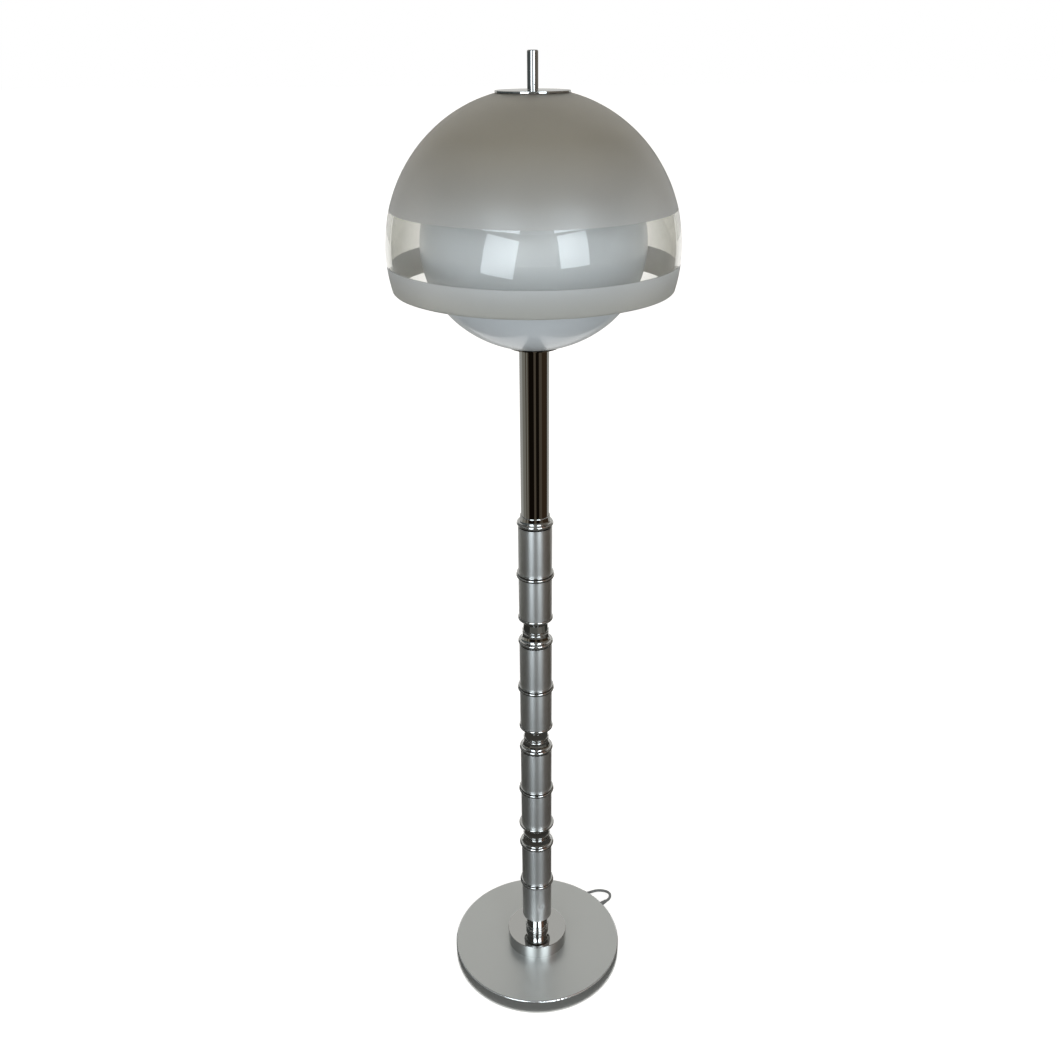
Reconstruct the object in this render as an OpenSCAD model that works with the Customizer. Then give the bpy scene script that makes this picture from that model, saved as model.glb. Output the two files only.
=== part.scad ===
// Floor lamp: a glass dome over an opal glass bowl, on a chromed tube and a
// stacked column of turned modules that stands on a weighted round base.
// Millimetres, +Z up, origin on the floor under the lamp's axis.

/* [Base] */
// Diameter of the base disc
base_d = 300; // [260:1:340]
// Height of the top face of the base above the floor
base_h = 28.5; // [27:0.5:36]
// Metal thickness of the spun base cover
cover_t = 1.5; // [1:0.1:2]
// Radius of the rounded top edge of the base cover
cover_edge_r = 2.5; // [2:0.1:4]
// Height of the cover's lower edge above the floor
cover_lift = 1.5; // [0.5:0.1:2.5]
// Thickness of the rubber foot ring
foot_t = 3; // [2.5:0.5:4]
// Width of the rubber foot ring
foot_w = 16; // [10:1:24]
// Thickness of the cast weight above its recess
web_t = 10.5; // [8:0.5:11]
// Diameter of the recess under the cast weight
recess_d = 200; // [120:1:220]
// Diameter of the polished puck on the base
puck_d = 106.5; // [80:0.5:140]
// Height of the puck
puck_h = 25.5; // [15:0.5:40]
// Height of the turned foot spool between the puck and the column
spool_h = 36; // [28:0.5:50]
// Diameter of the foot spool's neck
spool_d = 38.5; // [32:0.5:44]

/* [Column] */
// Outer diameter of the sleeves
sleeve_d = 52; // [48:0.5:56]
// Wall of the sleeves
sleeve_t = 1.5; // [1:0.1:2.5]
// Height of the plain sleeve below each middle ring
lower_sleeve_h = 69; // [50:0.5:90]
// Height of the plain sleeve above each middle ring
upper_sleeve_h = 76.5; // [50:0.5:100]
// Height of the middle ring's bead
ring_h = 9; // [6:0.5:14]
// Diameter over the middle ring's bead
ring_d = 59; // [58:0.5:66]
// Height of the dark groove between a sleeve and its collar bead
groove_h = 1.5; // [1:0.1:3]
// Height of the collar's bead
bead_h = 7; // [5:0.5:10]
// Diameter over the collar's bead
bead_d = 55.5; // [54:0.5:62]
// Diameter over the bead of the lowest collar
foot_bead_d = 59; // [54:0.5:64]
// Height of the sloping shoulder above the bead
shoulder_h = 13; // [9:0.5:20]
// Height of the necks between the modules, up to the lip
neck_h = 21.5; // [16:0.5:30]
// Diameter of the necks
neck_d = 39.2; // [34:0.2:42]
// Diameter of the lowest neck
foot_neck_d = 43.5; // [36:0.5:46]
// Height of the lip on top of a neck
lip_h = 8; // [6:0.5:12]
// Diameter over the lips
lip_d = 55.2; // [54:0.2:60]
// Diameter over the lowest lip
foot_lip_d = 60; // [54:0.5:64]
// Height of the top collar's shoulder round the stem tube
top_shoulder_h = 9.5; // [6:0.5:14]
// Diameter of the steel tie rod through the column
tie_rod_d = 16; // [15:0.5:20]
// Bore of the tie rod
tie_rod_bore = 12; // [10:0.5:13]

/* [Stem tube] */
// Outer diameter of the chromed stem tube
tube_d = 42; // [38:0.5:44]
// Wall of the stem tube
tube_t = 1.5; // [1:0.1:2.5]
// Length of the stem tube
tube_len = 265.5; // [150:0.5:400]
// Depth to which the stem tube sits in the top collar
tube_seat_h = 15; // [8:0.5:16]
// Outer diameter of the threaded stem in the bowl
stem_d = 13; // [12.5:0.5:16]
// Bore of the threaded stem
stem_bore = 8; // [7:0.5:9]

/* [Bowl] */
// Outer radius of the glass bowl
bowl_r = 162; // [156:1:175]
// Wall of the glass bowl
bowl_t = 4; // [3:0.5:6]
// Height of the bowl from its bottom to its rim
bowl_h = 202; // [150:1:230]
// Radius of the chromed plate under the bowl
seat_r = 36; // [26:0.5:60]
// Thickness of the plate under the bowl
seat_t = 1.2; // [1:0.1:2.5]
// Thickness of the rubber pads on the glass
pad_t = 1; // [0.8:0.1:2]
// Height of the cone nut that clamps the bowl
cone_h = 19; // [12:0.5:30]

/* [Lamps] */
// Height of the lampholder plate above the bottom of the bowl
holder_rise = 64; // [50:1:75]
// Radius of the lampholder plate
holder_plate_r = 60; // [56:0.5:70]
// Thickness of the lampholder plate
holder_plate_t = 2; // [1.5:0.1:3]
// Distance of the lampholders from the axis
holder_at = 40; // [38:0.5:46]
// Outer diameter of the lampholders
holder_d = 38; // [36:0.5:42]
// Height of the lampholders
holder_h = 55; // [45:0.5:65]
// Bore of the lampholders, for a 27 mm screw cap
holder_bore = 27.4; // [27.2:0.1:28]
// Diameter of the bulbs
bulb_d = 65; // [45:0.5:66]
// Height of the bulbs above their holders
bulb_h = 86; // [70:1:100]

/* [Dome] */
// Outer radius of the spherical glass dome
dome_r = 196.5; // [185:0.5:210]
// Wall of the glass dome
dome_t = 4.5; // [3:0.5:6]
// Height of the dome's rim above the bottom of the bowl
dome_rise = 83; // [60:1:110]
// Depth of the dome's rim below its widest line
dome_drop = 50.5; // [20:0.5:80]
// Diameter of the opening in the top of the dome
dome_hole_d = 84; // [60:1:86]
// Radius of the carrier dish that holds the dome
carrier_r = 50; // [48:0.5:70]
// Thickness of the carrier dish
carrier_t = 2; // [1.5:0.1:3]
// Diameter of the top cap plate
cap_d = 96.5; // [94:0.5:120]
// Thickness of the top cap plate
cap_t = 1.2; // [1:0.1:2]
// Diameter of the rod up to the cap
top_rod_d = 8; // [6:0.5:9]
// Diameter of the finial rod
finial_d = 14.2; // [12:0.2:20]
// Height of the finial rod
finial_h = 45.2; // [30:0.2:80]
// Height that the dome is lifted to change a bulb
lift_h = 300; // [200:10:320]

/* [Cord] */
// Diameter of the mains cord
cord_d = 5; // [4:0.1:5]
// Direction in which the cord leaves the base, from +X towards +Y
cord_az = 38; // [30:1:45]
// Height of the cord outlet above the floor
outlet_h = 11; // [10:0.5:12]
// Length of the tapered cord boot
boot_len = 21.3; // [20:0.1:26]
// Length of the hank's straight runs
hank_run = 75; // [75:1:95]
// Radius of the hank's tightest end loop
hank_r = 15; // [15:0.5:17]
// Step between neighbouring loops of the hank
hank_step = 5.9; // [5.8:0.1:6.4]
// Height from one layer of the hank to the next
hank_layer = 5.6; // [5.5:0.1:6.5]
// How far the hank is drawn in at its waist
hank_draw = 6; // [3:0.5:8]
// Width of the hank's tie
tie_w = 10; // [6:0.5:14]
// Thickness of the hank's tie
tie_t = 1.2; // [0.8:0.1:2]
// Length of the cord switch
switch_len = 52; // [46:1:54]
// Width of the cord switch
switch_w = 22; // [18:0.5:26]
// Height of the cord switch's body
switch_h = 15; // [13:0.5:18]
// Tilt of the switch's rocker at rest
rocker_tilt = 7; // [5:0.5:9]
// Length of the plug's body
plug_len = 36; // [32:1:44]
// Width of the plug's body
plug_w = 35; // [33:0.5:37]
// Thickness of the plug's body
plug_t = 13.7; // [12:0.1:16]

/* [Hidden] */
$fn = 96;
// Fits: a thread or running fit, a loose slip fit, and the gap of pieces that part
fit = 0.05;
slip = 0.15;
part_gap = 0.3;
// A little more than a cut needs
over = 1;

// Heights of the base and the column
base_r = base_d / 2;
cover_in_r = base_r - cover_t;
ballast_r = cover_in_r - slip;
ballast_top = base_h - cover_t;
recess_top = ballast_top - web_t;
foot_r = ballast_r - 4;
rod_r = tie_rod_d / 2;
rod_hole_r = rod_r + slip;
puck_top = base_h + puck_h;
column_z = puck_top + spool_h;
sleeve_r = sleeve_d / 2;
sleeve_in_r = sleeve_r - sleeve_t;
spigot_r = sleeve_in_r - slip;
spigot_h = 4;
ring_at = lip_h + lower_sleeve_h;
upper_at = ring_at + ring_h;
collar_at = upper_at + upper_sleeve_h;
bead_at = collar_at + groove_h;
shoulder_at = bead_at + bead_h;
neck_at = shoulder_at + shoulder_h;
module_h = neck_at + neck_h;
MODULES = 4;
function module_z(k) = column_z + (k - 1) * module_h;

// Base nut: a flange and a hexagon in the recess
nut_flange_t = 1.5;
nut_hex_h = 5.5;
nut_hex_d = 27.7;
rod_bottom = recess_top - nut_flange_t - nut_hex_h - 1;

// Stem tube and its plugs
tube_r = tube_d / 2;
tube_in_r = tube_r - tube_t;
tube_web_t = 5;
top_z = module_z(MODULES);
tube_z = top_z + shoulder_at + top_shoulder_h - tube_seat_h;
tube_top = tube_z + tube_len;
lower_plug_h = 20;
upper_plug_h = 20;
rod_top = tube_z + lower_plug_h + 4;
plug_flange_t = 1.5;
stem_r = stem_d / 2;
stem_bottom = tube_top - upper_plug_h + 2;

// Bowl and its clamp
seat_z = tube_top + plug_flange_t;
bowl_z = seat_z + seat_t + pad_t + 2 * fit;
bowl_c = bowl_z + bowl_r;
bowl_hole_r = stem_r + 1;
pad_r = 30;
cone_r = 17;
cone_tip_r = 9.5;

// Lampholders and bulbs
holder_z = bowl_z + holder_rise;
holder_top = holder_z + holder_plate_t + holder_h;
holder_r = holder_d / 2;
holder_bore_r = holder_bore / 2;
holder_floor = 26;
boss_r = 12;
boss_h = 14;
nipple_r = 5;
lead_hole_z = holder_z - boss_h - 10;
cap_r = 13.3;
bulb_r = bulb_d / 2;
bulb_wall = 1;
bulb_neck_r = 13;
HOLDERS = 3;
function holder_az(k) = 90 + (k - 1) * 360 / HOLDERS;

// Dome, carrier and cap
dome_rim_z = bowl_z + dome_rise;
dome_c = dome_rim_z + dome_drop;
dome_in_r = dome_r - dome_t;
dome_hole_r = dome_hole_d / 2;
top_rod_r = min(top_rod_d, stem_bore) / 2 - fit;
carrier_out = dome_in_r - part_gap - pad_t - fit;
carrier_pad_w = 7;
cap_r_out = cap_d / 2;
cap_rim_t = 1.8;
glass_edge_z = dome_c + sqrt(pow(dome_r, 2) - pow(dome_hole_r, 2));
cap_z = glass_edge_z + 0.4;
cap_skirt_z = dome_c + sqrt(pow(dome_r, 2) - pow(cap_r_out - cap_rim_t, 2)) + 0.4;
cap_pad_r = dome_hole_r + 4;
finial_z = cap_z + cap_t + slip;
finial_r = finial_d / 2;
finial_bore_h = 28;
stem_top = holder_z + holder_plate_t + 2;

// Cord outlet
cord_r = cord_d / 2;
boot_r = 4.9;
boot_tip_r = 3.1;
outlet_r = boot_r + slip;
boot_flange_r = 6.5;
boot_flange_t = 1.5;
lead_r = 2.5;
lead_bend = 12;
lead_floor_z = 3.6;
lead_straight = 8;
lead_fall = 40;
function outlet_point(out) = [(base_r + out) * cos(cord_az), (base_r + out) * sin(cord_az), outlet_h];

// Cord switch: it lies behind the base, its cord along its middle
switch_x = 11;
switch_y = 184;
switch_cord_z = 6.5;
rocker_w = 10;
rocker_len = 19;
rocker_pin_r = 1.5;
rocker_pin_z = switch_h - 1;
rocker_well_h = 8;

// The cord's points from the boot to the switch
RUN = concat([outlet_point(boot_len), outlet_point(boot_len + cord_d)], [
    [142.6, 114.2, 10.6], [144.2, 120.8, 9.6], [143.8, 127.8, 8], [140.4, 134.3, 6.2],
    [134.4, 139.2, 4.5], [127, 142, 3.2], [119, 142.2, 2.7], [111, 140, 2.6], [103.5, 137, 2.6],
    [96, 135.2, 2.6], [88.5, 136, 2.6], [81, 139, 2.6], [72.5, 142.8, 2.6], [63, 146.6, 2.6],
    [53, 150.3, 2.6], [43, 153.8, 2.6], [34, 156.3, 2.6], [27, 158.2, 2.6], [21.5, 160.8, 2.6],
    [17, 164.5, 2.9], [13.6, 168.8, 3.8], [11.7, 173.5, 5.2], [switch_x, switch_y - cord_d, switch_cord_z],
    [switch_x, switch_y, switch_cord_z]
]);

// The hank: the first loop starts at hank_y, and loops spiral in, climb a
// layer along a run where the spiral turns round, and spiral out again
TURNS = 6;
TURNS_PER_LAYER = 1.5;
LOOP_RINGS = 24;
RUN_SHARE = 1 / 8;
hank_off = 46;
hank_y = switch_y + switch_len + hank_off;
hank_mid_y = hank_y + hank_run / 2;
hank_z = cord_r + 0.1;
waist_lift = tie_t + 0.2;
LEAD_IN = [
    [switch_x, switch_y + switch_len, switch_cord_z],
    [switch_x, switch_y + switch_len + cord_d, switch_cord_z], [11.7, 247.6, 5.4],
    [14.2, 254.5, 3.6], [17.4, 260.5, 2.8], [20.4, 266.5, 2.6], [22.9, 272.5, 2.6],
    [24.3, 278, 2.6]
];
plug_x = 10;
plug_y = 415;
plug_cord_z = plug_t / 2;
TAIL = [
    [24.4, 363, 19.4], [24, 370, 18.9], [22.6, 377, 17.2], [20.2, 384, 14.5],
    [17, 390.5, 11.4], [13.6, 396.8, 8.8], [11, 403, 7.3],
    [plug_x, plug_y - cord_d, plug_cord_z], [plug_x, plug_y, plug_cord_z]
];

// Vector helpers
function unit(v) = v / norm(v);
function smooth(x) = let (c = max(0, min(1, x))) c * c * (3 - 2 * c);

// How many steps out from the tightest loop the cord is, after s turns
function lane(s) = s < 0 ? TURNS_PER_LAYER - s
    : s > TURNS ? TURNS_PER_LAYER + s - TURNS
    : abs(s - 2 * TURNS_PER_LAYER * floor(s / (2 * TURNS_PER_LAYER)) - TURNS_PER_LAYER);
// Which layer the cord is in, after s turns
function layer(s) = smooth((s - TURNS_PER_LAYER) / (2 * RUN_SHARE) + 0.5)
    + smooth((s - 2 * TURNS_PER_LAYER) / (2 * RUN_SHARE) + 0.5)
    + smooth((s - 3 * TURNS_PER_LAYER) / (2 * RUN_SHARE) + 0.5);
function waist(y) = abs(y) < hank_run / 2 ? pow(cos(180 * y / hank_run), 2) : 0;
// A point of the hank after s turns: run, end loop, run, end loop
function hank_point(s) = let (
        w = hank_r + hank_step * lane(s),
        f = 4 * (s + RUN_SHARE - floor(s + RUN_SHARE)),
        a = 180 * (f < 2 ? f - 1 : f - 2),
        half = hank_run / 2,
        x = f < 1 ? w : f < 2 ? w * cos(a) : f < 3 ? -w : w * cos(a),
        y = f < 1 ? hank_run * f - half : f < 2 ? half + w * sin(a)
            : f < 3 ? half - hank_run * (f - 2) : w * sin(a) - half,
        d = waist(y)
    ) [x - hank_draw * d * sign(x), hank_mid_y + y, hank_z + hank_layer * layer(s) + waist_lift * d];
HANK = concat(
    LEAD_IN,
    [for (i = [0 : TURNS * LOOP_RINGS + 6]) hank_point(i / LOOP_RINGS - RUN_SHARE)],
    TAIL
);

// Least gap of the hank's loops to each other, from point to stretch
function off_stretch(p, a, b) = let (t = max(0, min(1, (p - a) * (b - a) / ((b - a) * (b - a)))))
    norm(p - a - t * (b - a));
hank_gap = min([for (i = [0 : len(HANK) - 1]) for (j = [i + 6 : 1 : len(HANK) - 2])
    off_stretch(HANK[i], HANK[j], HANK[j + 1])]) - cord_d;
function path_len(p) = [for (i = 0, s = 0; i < len(p); s = s + (i + 1 < len(p) ? norm(p[i + 1] - p[i]) : 0),
    i = i + 1) s][len(p) - 1];
union() {
    echo(hank_gap = hank_gap, hank_m = path_len(HANK) / 1000, run_m = path_len(RUN) / 1000);
}

// A tube swept along points, with flat ends
module swept(path, r, sides, across = false) {
    // A path in an upright plane states the direction across that plane
    n = len(path);
    function along(i) = unit(path[min(i + 1, n - 1)] - path[max(i - 1, 0)]);
    function side(i) = across ? across : unit(cross(along(i), [0, 0, 1]));
    points = [for (i = [0 : n - 1]) let (s = side(i), u = cross(s, along(i)))
        for (k = [0 : sides - 1]) path[i] + r * (cos(360 * k / sides) * s + sin(360 * k / sides) * u)];
    skin = [for (i = [0 : n - 2]) for (k = [0 : sides - 1]) let (
            a = i * sides + k, b = i * sides + (k + 1) % sides, c = a + sides, d = b + sides)
        each [[a, c, b], [b, c, d]]];
    caps = [for (k = [1 : sides - 2]) each [[0, k, k + 1],
        [(n - 1) * sides, (n - 1) * sides + k + 1, (n - 1) * sides + k]]];
    polyhedron(points, concat(skin, caps), convexity = 10);
}

// A turned piece from its half outline, standing at height z
module turned(z, outline) {
    translate([0, 0, z]) rotate_extrude() polygon(outline);
}

// A ring or tube between two radii
module ring(z, h, outer, inner) {
    translate([0, 0, z]) difference() {
        cylinder(h = h, r = outer);
        translate([0, 0, -over]) cylinder(h = h + 2 * over, r = inner);
    }
}

// A spherical shell from radius a out to radius b, cut at a radial distance from
// the axis; it is the upper cap of its sphere, or the lower one
module shell(c, r_out, t, a, b, up = true) {
    translate([0, 0, c]) rotate_extrude() intersection() {
        difference() {
            circle(r = r_out, $fn = 360);
            circle(r = r_out - t, $fn = 360);
        }
        translate([a, up ? 0 : -r_out - over]) square([b - a, r_out + over]);
    }
}

// A wall's half outline: an arc of thickness t between two angles, less than half a turn apart
module wall_arc(r_out, t, from, to) {
    far = 2 * r_out;
    middle = (from + to) / 2;
    intersection() {
        difference() {
            circle(r = r_out);
            circle(r = r_out - t);
        }
        polygon([[0, 0], far * [cos(from), sin(from)], far * [cos(middle), sin(middle)],
            far * [cos(to), sin(to)]]);
    }
}

// The rounded rim of a glass wall, at an angle of its arc
module glass_rim(r_out, t, angle) {
    translate((r_out - t / 2) * [cos(angle), sin(angle)]) circle(r = t / 2, $fn = 32);
}

// Base

module base_cover() {
    e = cover_edge_r;
    color("silver") difference() {
        translate([0, 0, cover_lift]) rotate_extrude() difference() {
            union() {
                square([base_r, base_h - cover_lift - e]);
                square([base_r - e, base_h - cover_lift]);
                translate([base_r - e, base_h - cover_lift - e]) circle(r = e, $fn = 48);
            }
            translate([-over, -over]) square([cover_in_r + over, ballast_top - cover_lift + over]);
        }
        translate([0, 0, -over]) cylinder(h = base_h + 2 * over, r = rod_hole_r);
        rotate([0, 0, cord_az]) translate([base_r / 2, 0, outlet_h]) rotate([0, 90, 0])
            cylinder(h = base_r, r = outlet_r, $fn = 48);
    }
}

module ballast() {
    color("dimgray") difference() {
        translate([0, 0, foot_t]) cylinder(h = ballast_top - foot_t - fit, r = ballast_r);
        translate([0, 0, -over]) cylinder(h = recess_top + over, r = recess_d / 2);
        translate([0, 0, -over]) cylinder(h = base_h + 2 * over, r = rod_hole_r);
        // The cord's channel, as wide as the boot's locking end needs
        rotate([0, 0, cord_az]) translate([0, -boot_flange_r - slip, -over])
            cube([base_r, 2 * boot_flange_r + 2 * slip, outlet_h + boot_flange_r + slip + over]);
    }
}

module foot_ring() {
    // It stops short of the cord's channel on both sides
    color("black") difference() {
        ring(0, foot_t - fit, foot_r, foot_r - foot_w);
        rotate([0, 0, cord_az]) translate([0, -boot_flange_r - 2, -over])
            cube([base_r, 2 * boot_flange_r + 4, foot_t + 2 * over]);
    }
}

module base_nut() {
    color("darkgray") difference() {
        union() {
            translate([0, 0, recess_top - nut_flange_t]) cylinder(h = nut_flange_t - fit, r = 20);
            translate([0, 0, recess_top - nut_flange_t - nut_hex_h])
                cylinder(h = nut_hex_h + over / 2, d = nut_hex_d, $fn = 6);
        }
        translate([0, 0, -over]) cylinder(h = recess_top + over, r = rod_r + fit);
    }
}

module puck() {
    chamfer = 0.8;
    r = puck_d / 2;
    color("gainsboro") turned(base_h, [[rod_hole_r, 0], [r, 0], [r, puck_h - chamfer],
        [r - chamfer, puck_h], [rod_hole_r, puck_h]]);
}

module foot_spool() {
    neck = spool_d / 2;
    foot = neck + 3;
    band_z = 14;
    band_r = 2.2;
    flange = sleeve_r - 0.8;
    color("lightgray") union() {
        turned(puck_top, concat([[rod_hole_r, 0], [foot, 0], [foot, 1.5]],
            [for (a = [0 : 15 : 90]) [foot - 3 * sin(a), 1.5 + 8 * (1 - cos(a))]],
            [[neck, spool_h - 6], [flange - 2.5, spool_h - 3.2], [flange, spool_h - 1.6],
                [flange, spool_h], [spigot_r, spool_h], [spigot_r, spool_h + spigot_h],
                [rod_hole_r, spool_h + spigot_h]]));
        translate([0, 0, puck_top + band_z]) rotate_extrude()
            translate([neck, 0]) circle(r = band_r, $fn = 32);
    }
}

// Column

module lower_sleeve(k) {
    // The lowest sleeve has no lip under it and reaches down to the foot spool
    z = module_z(k) + (k == 1 ? 0 : lip_h);
    color("slategray") ring(z + fit, module_z(k) + ring_at - z - 2 * fit, sleeve_r, sleeve_in_r);
}

module mid_ring(k) {
    bead = ring_d / 2;
    wall = 3;
    color("silver") translate([0, 0, module_z(k) + ring_at]) rotate_extrude() union() {
        translate([spigot_r - wall, -spigot_h]) square([wall, ring_h + 2 * spigot_h]);
        translate([spigot_r - wall, 0]) square([sleeve_r - spigot_r + wall + 0.4, ring_h]);
        // The bead is an arc over the full height of the ring
        intersection() {
            translate([bead - arc_r(ring_h, bead - sleeve_r - 0.4), ring_h / 2])
                circle(r = arc_r(ring_h, bead - sleeve_r - 0.4), $fn = 64);
            translate([sleeve_r, 0]) square([bead, ring_h]);
        }
    }
}

// Radius of an arc over a chord, with this much rise
function arc_r(chord, rise) = (pow(chord / 2, 2) + pow(rise, 2)) / (2 * rise);

module upper_sleeve(k) {
    color("slategray") ring(module_z(k) + upper_at + fit, upper_sleeve_h - 2 * fit, sleeve_r, sleeve_in_r);
}

// The sloping, hollowed shoulder's outline from the bead in to radius r
function shoulder_outline(z, h, from_r, r) =
    [for (a = [0 : 15 : 90]) [r + (from_r - r) * (1 - sin(a)), z + h * (1 - cos(a))]];

module collar(k) {
    last = k == MODULES;
    bead = (k == 1 ? foot_bead_d : bead_d) / 2;
    neck = (k == 1 ? foot_neck_d : neck_d) / 2 + 1.4;
    hole = last ? tube_r + slip : rod_hole_r;
    inner = last ? tube_r + slip : sleeve_in_r - 3;
    top = last ? top_shoulder_h : shoulder_h;
    edge = 1.2;
    lift = groove_h + bead_h;
    color("silver") translate([0, 0, module_z(k) + collar_at]) rotate_extrude() difference() {
        union() {
            translate([0, -spigot_h]) square([spigot_r, spigot_h + over]);
            square([sleeve_r - 1, groove_h + over]);
            translate([0, groove_h]) square([bead - bead_h / 4, bead_h]);
            translate([bead - bead_h / 2, groove_h + bead_h / 2]) circle(d = bead_h, $fn = 48);
            polygon(concat([[0, lift - over]], [[bead - bead_h / 2, lift - over]],
                shoulder_outline(lift, top - edge, bead - bead_h / 2, last ? tube_r + 1.6 : neck),
                [[last ? tube_r + 1.6 : neck, lift + top], [0, lift + top]]));
        }
        // The bore, and the hollow under the bead or the web under the tube
        translate([-over, -over - spigot_h]) square([rod_hole_r + over, lift + top + spigot_h + 2 * over]);
        if (last) {
            translate([0, lift + top - tube_seat_h]) square([hole, tube_seat_h + over]);
            translate([0, -over - spigot_h])
                square([inner - 4, lift + top - tube_seat_h - tube_web_t + over + spigot_h]);
        } else {
            translate([0, -over - spigot_h]) square([inner, lift + over + spigot_h - 2]);
        }
    }
}

module neck(k) {
    // It stands on its collar and carries the next module's lower sleeve
    r = (k == 1 ? foot_neck_d : neck_d) / 2;
    lip = (k == 1 ? foot_lip_d : lip_d) / 2;
    band = 1.4;
    color("silver") turned(module_z(k) + neck_at, [
        [rod_hole_r, 0], [r, 0], [r, 2.2], [r + band, 2.2], [r + band, 4.8], [r, 4.8],
        [r, neck_h - 3], [lip - 3.6, neck_h + 0.6], [lip, neck_h + 4], [lip, neck_h + lip_h - 1.6],
        [lip - 0.6, neck_h + lip_h - 0.6], [sleeve_r + 0.2, neck_h + lip_h], [spigot_r, neck_h + lip_h],
        [spigot_r, neck_h + lip_h + spigot_h], [spigot_r - 3, neck_h + lip_h + spigot_h],
        [spigot_r - 3, neck_h + 3], [rod_hole_r, neck_h + 3]]);
}

module tie_rod() {
    color("gray") ring(rod_bottom, rod_top - rod_bottom, rod_r, tie_rod_bore / 2);
}

module lower_plug() {
    color("gray") ring(tube_z + fit, lower_plug_h, tube_in_r - slip, rod_r + fit);
}

module stem_tube() {
    color("lightgray") ring(tube_z + fit, tube_len - fit, tube_r, tube_in_r);
}

module upper_plug() {
    color("silver") difference() {
        union() {
            translate([0, 0, tube_top - upper_plug_h]) cylinder(h = upper_plug_h, r = tube_in_r - slip);
            translate([0, 0, tube_top + fit]) cylinder(h = plug_flange_t - 2 * fit, r = tube_r);
            translate([0, 0, tube_top - over]) cylinder(h = 2 * over, r = tube_in_r - slip);
        }
        translate([0, 0, tube_top - upper_plug_h - over])
            cylinder(h = upper_plug_h + plug_flange_t + 2 * over, r = stem_r + fit);
    }
}

// Bowl

module seat_plate() {
    // Flat where it stands on the plug, and dished along the glass further out
    out = bowl_r + pad_t + 2 * fit;
    color("lightgray") translate([0, 0, bowl_c]) rotate_extrude() intersection() {
        difference() {
            union() {
                circle(r = out + seat_t, $fn = 360);
                translate([0, -out - seat_t]) square([tube_r + 1, seat_t + 3]);
            }
            circle(r = out, $fn = 360);
        }
        translate([stem_r + fit, -out - seat_t]) square([seat_r - stem_r - fit, seat_r]);
    }
}

module bowl_pads() {
    // One pad under the glass and one over it
    color("black") {
        shell(bowl_c, bowl_r + pad_t + fit, pad_t, stem_r + slip, pad_r, false);
        shell(bowl_c, bowl_r - bowl_t - fit, pad_t, stem_r + slip, cone_r, false);
    }
}

module bowl() {
    rim = asin((bowl_h - bowl_r) / (bowl_r - bowl_t / 2));
    color([0.86, 0.88, 0.9, 0.6]) translate([0, 0, bowl_c]) rotate_extrude() {
        difference() {
            wall_arc(bowl_r, bowl_t, -90, rim);
            translate([0, -bowl_r - over]) square([bowl_hole_r, bowl_r]);
        }
        glass_rim(bowl_r, bowl_t, rim);
    }
}

module bowl_cone() {
    r_in = bowl_r - bowl_t - pad_t - 2 * fit;
    color("darkgray") difference() {
        translate([0, 0, bowl_c - r_in]) cylinder(h = cone_h, r1 = cone_r, r2 = cone_tip_r);
        // Its underside follows the glass
        translate([0, 0, bowl_c - r_in - over]) difference() {
            cylinder(h = 3, r = cone_r + over);
            translate([0, 0, r_in + over]) sphere(r = r_in, $fn = 200);
        }
        translate([0, 0, bowl_z]) cylinder(h = cone_h + bowl_r, r = stem_r + fit);
    }
}

module inner_stem() {
    color("goldenrod") difference() {
        ring(stem_bottom, stem_top - stem_bottom, stem_r, stem_bore / 2);
        for (k = [1 : HOLDERS]) translate([0, 0, lead_hole_z - 3]) rotate([0, 90, holder_az(k)])
            cylinder(h = stem_d, r = 2.2, $fn = 32);
    }
}

// Lamps

module at_holder(k) {
    rotate([0, 0, holder_az(k)]) translate([holder_at, 0, 0]) children();
}

module holder_plate() {
    color("gainsboro") difference() {
        union() {
            translate([0, 0, holder_z]) cylinder(h = holder_plate_t - fit, r = holder_plate_r);
            translate([0, 0, holder_z - boss_h]) cylinder(h = boss_h + over, r = boss_r);
        }
        translate([0, 0, holder_z - boss_h - over]) cylinder(h = boss_h + 4 * over, r = stem_r + fit);
        for (k = [1 : HOLDERS]) at_holder(k)
            translate([0, 0, holder_z - over]) cylinder(h = 4 * over, r = nipple_r + slip, $fn = 48);
    }
}

module lampholder(k) {
    bottom = holder_z + holder_plate_t;
    skirt = 14;
    color("ivory") at_holder(k) difference() {
        union() {
            translate([0, 0, bottom]) cylinder(h = holder_h - skirt, r1 = holder_r - 5, r2 = holder_r - 1.5);
            translate([0, 0, holder_top - skirt - fit]) cylinder(h = skirt, r = holder_r);
            translate([0, 0, bottom - 6]) cylinder(h = 6 + over, r = nipple_r, $fn = 48);
        }
        translate([0, 0, holder_top - holder_floor]) cylinder(h = holder_floor + over, r = holder_bore_r);
        translate([0, 0, bottom - 6 - over]) cylinder(h = holder_h, r = 2.5, $fn = 32);
    }
}

// Half outline of a bulb's glass, grown inwards by t
module bulb_outline(t) {
    touch = 50;
    r = bulb_r - t;
    neck = bulb_neck_r - t;
    c = bulb_h - bulb_r;
    meet = [r * cos(touch), c - r * sin(touch)];
    neck_z = meet[1] - (meet[0] - neck) / tan(touch);
    translate([0, c]) intersection() {
        circle(r = r);
        translate([0, -r]) square([r, 2 * r]);
    }
    polygon([[0, 0], [neck, 0], [neck, neck_z], meet, [0, meet[1]]]);
}

module bulb(k) {
    color([0.95, 0.95, 0.93, 0.7]) at_holder(k) translate([0, 0, holder_top]) rotate_extrude() difference() {
        bulb_outline(0);
        translate([0, -fit]) bulb_outline(bulb_wall);
    }
}

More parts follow.
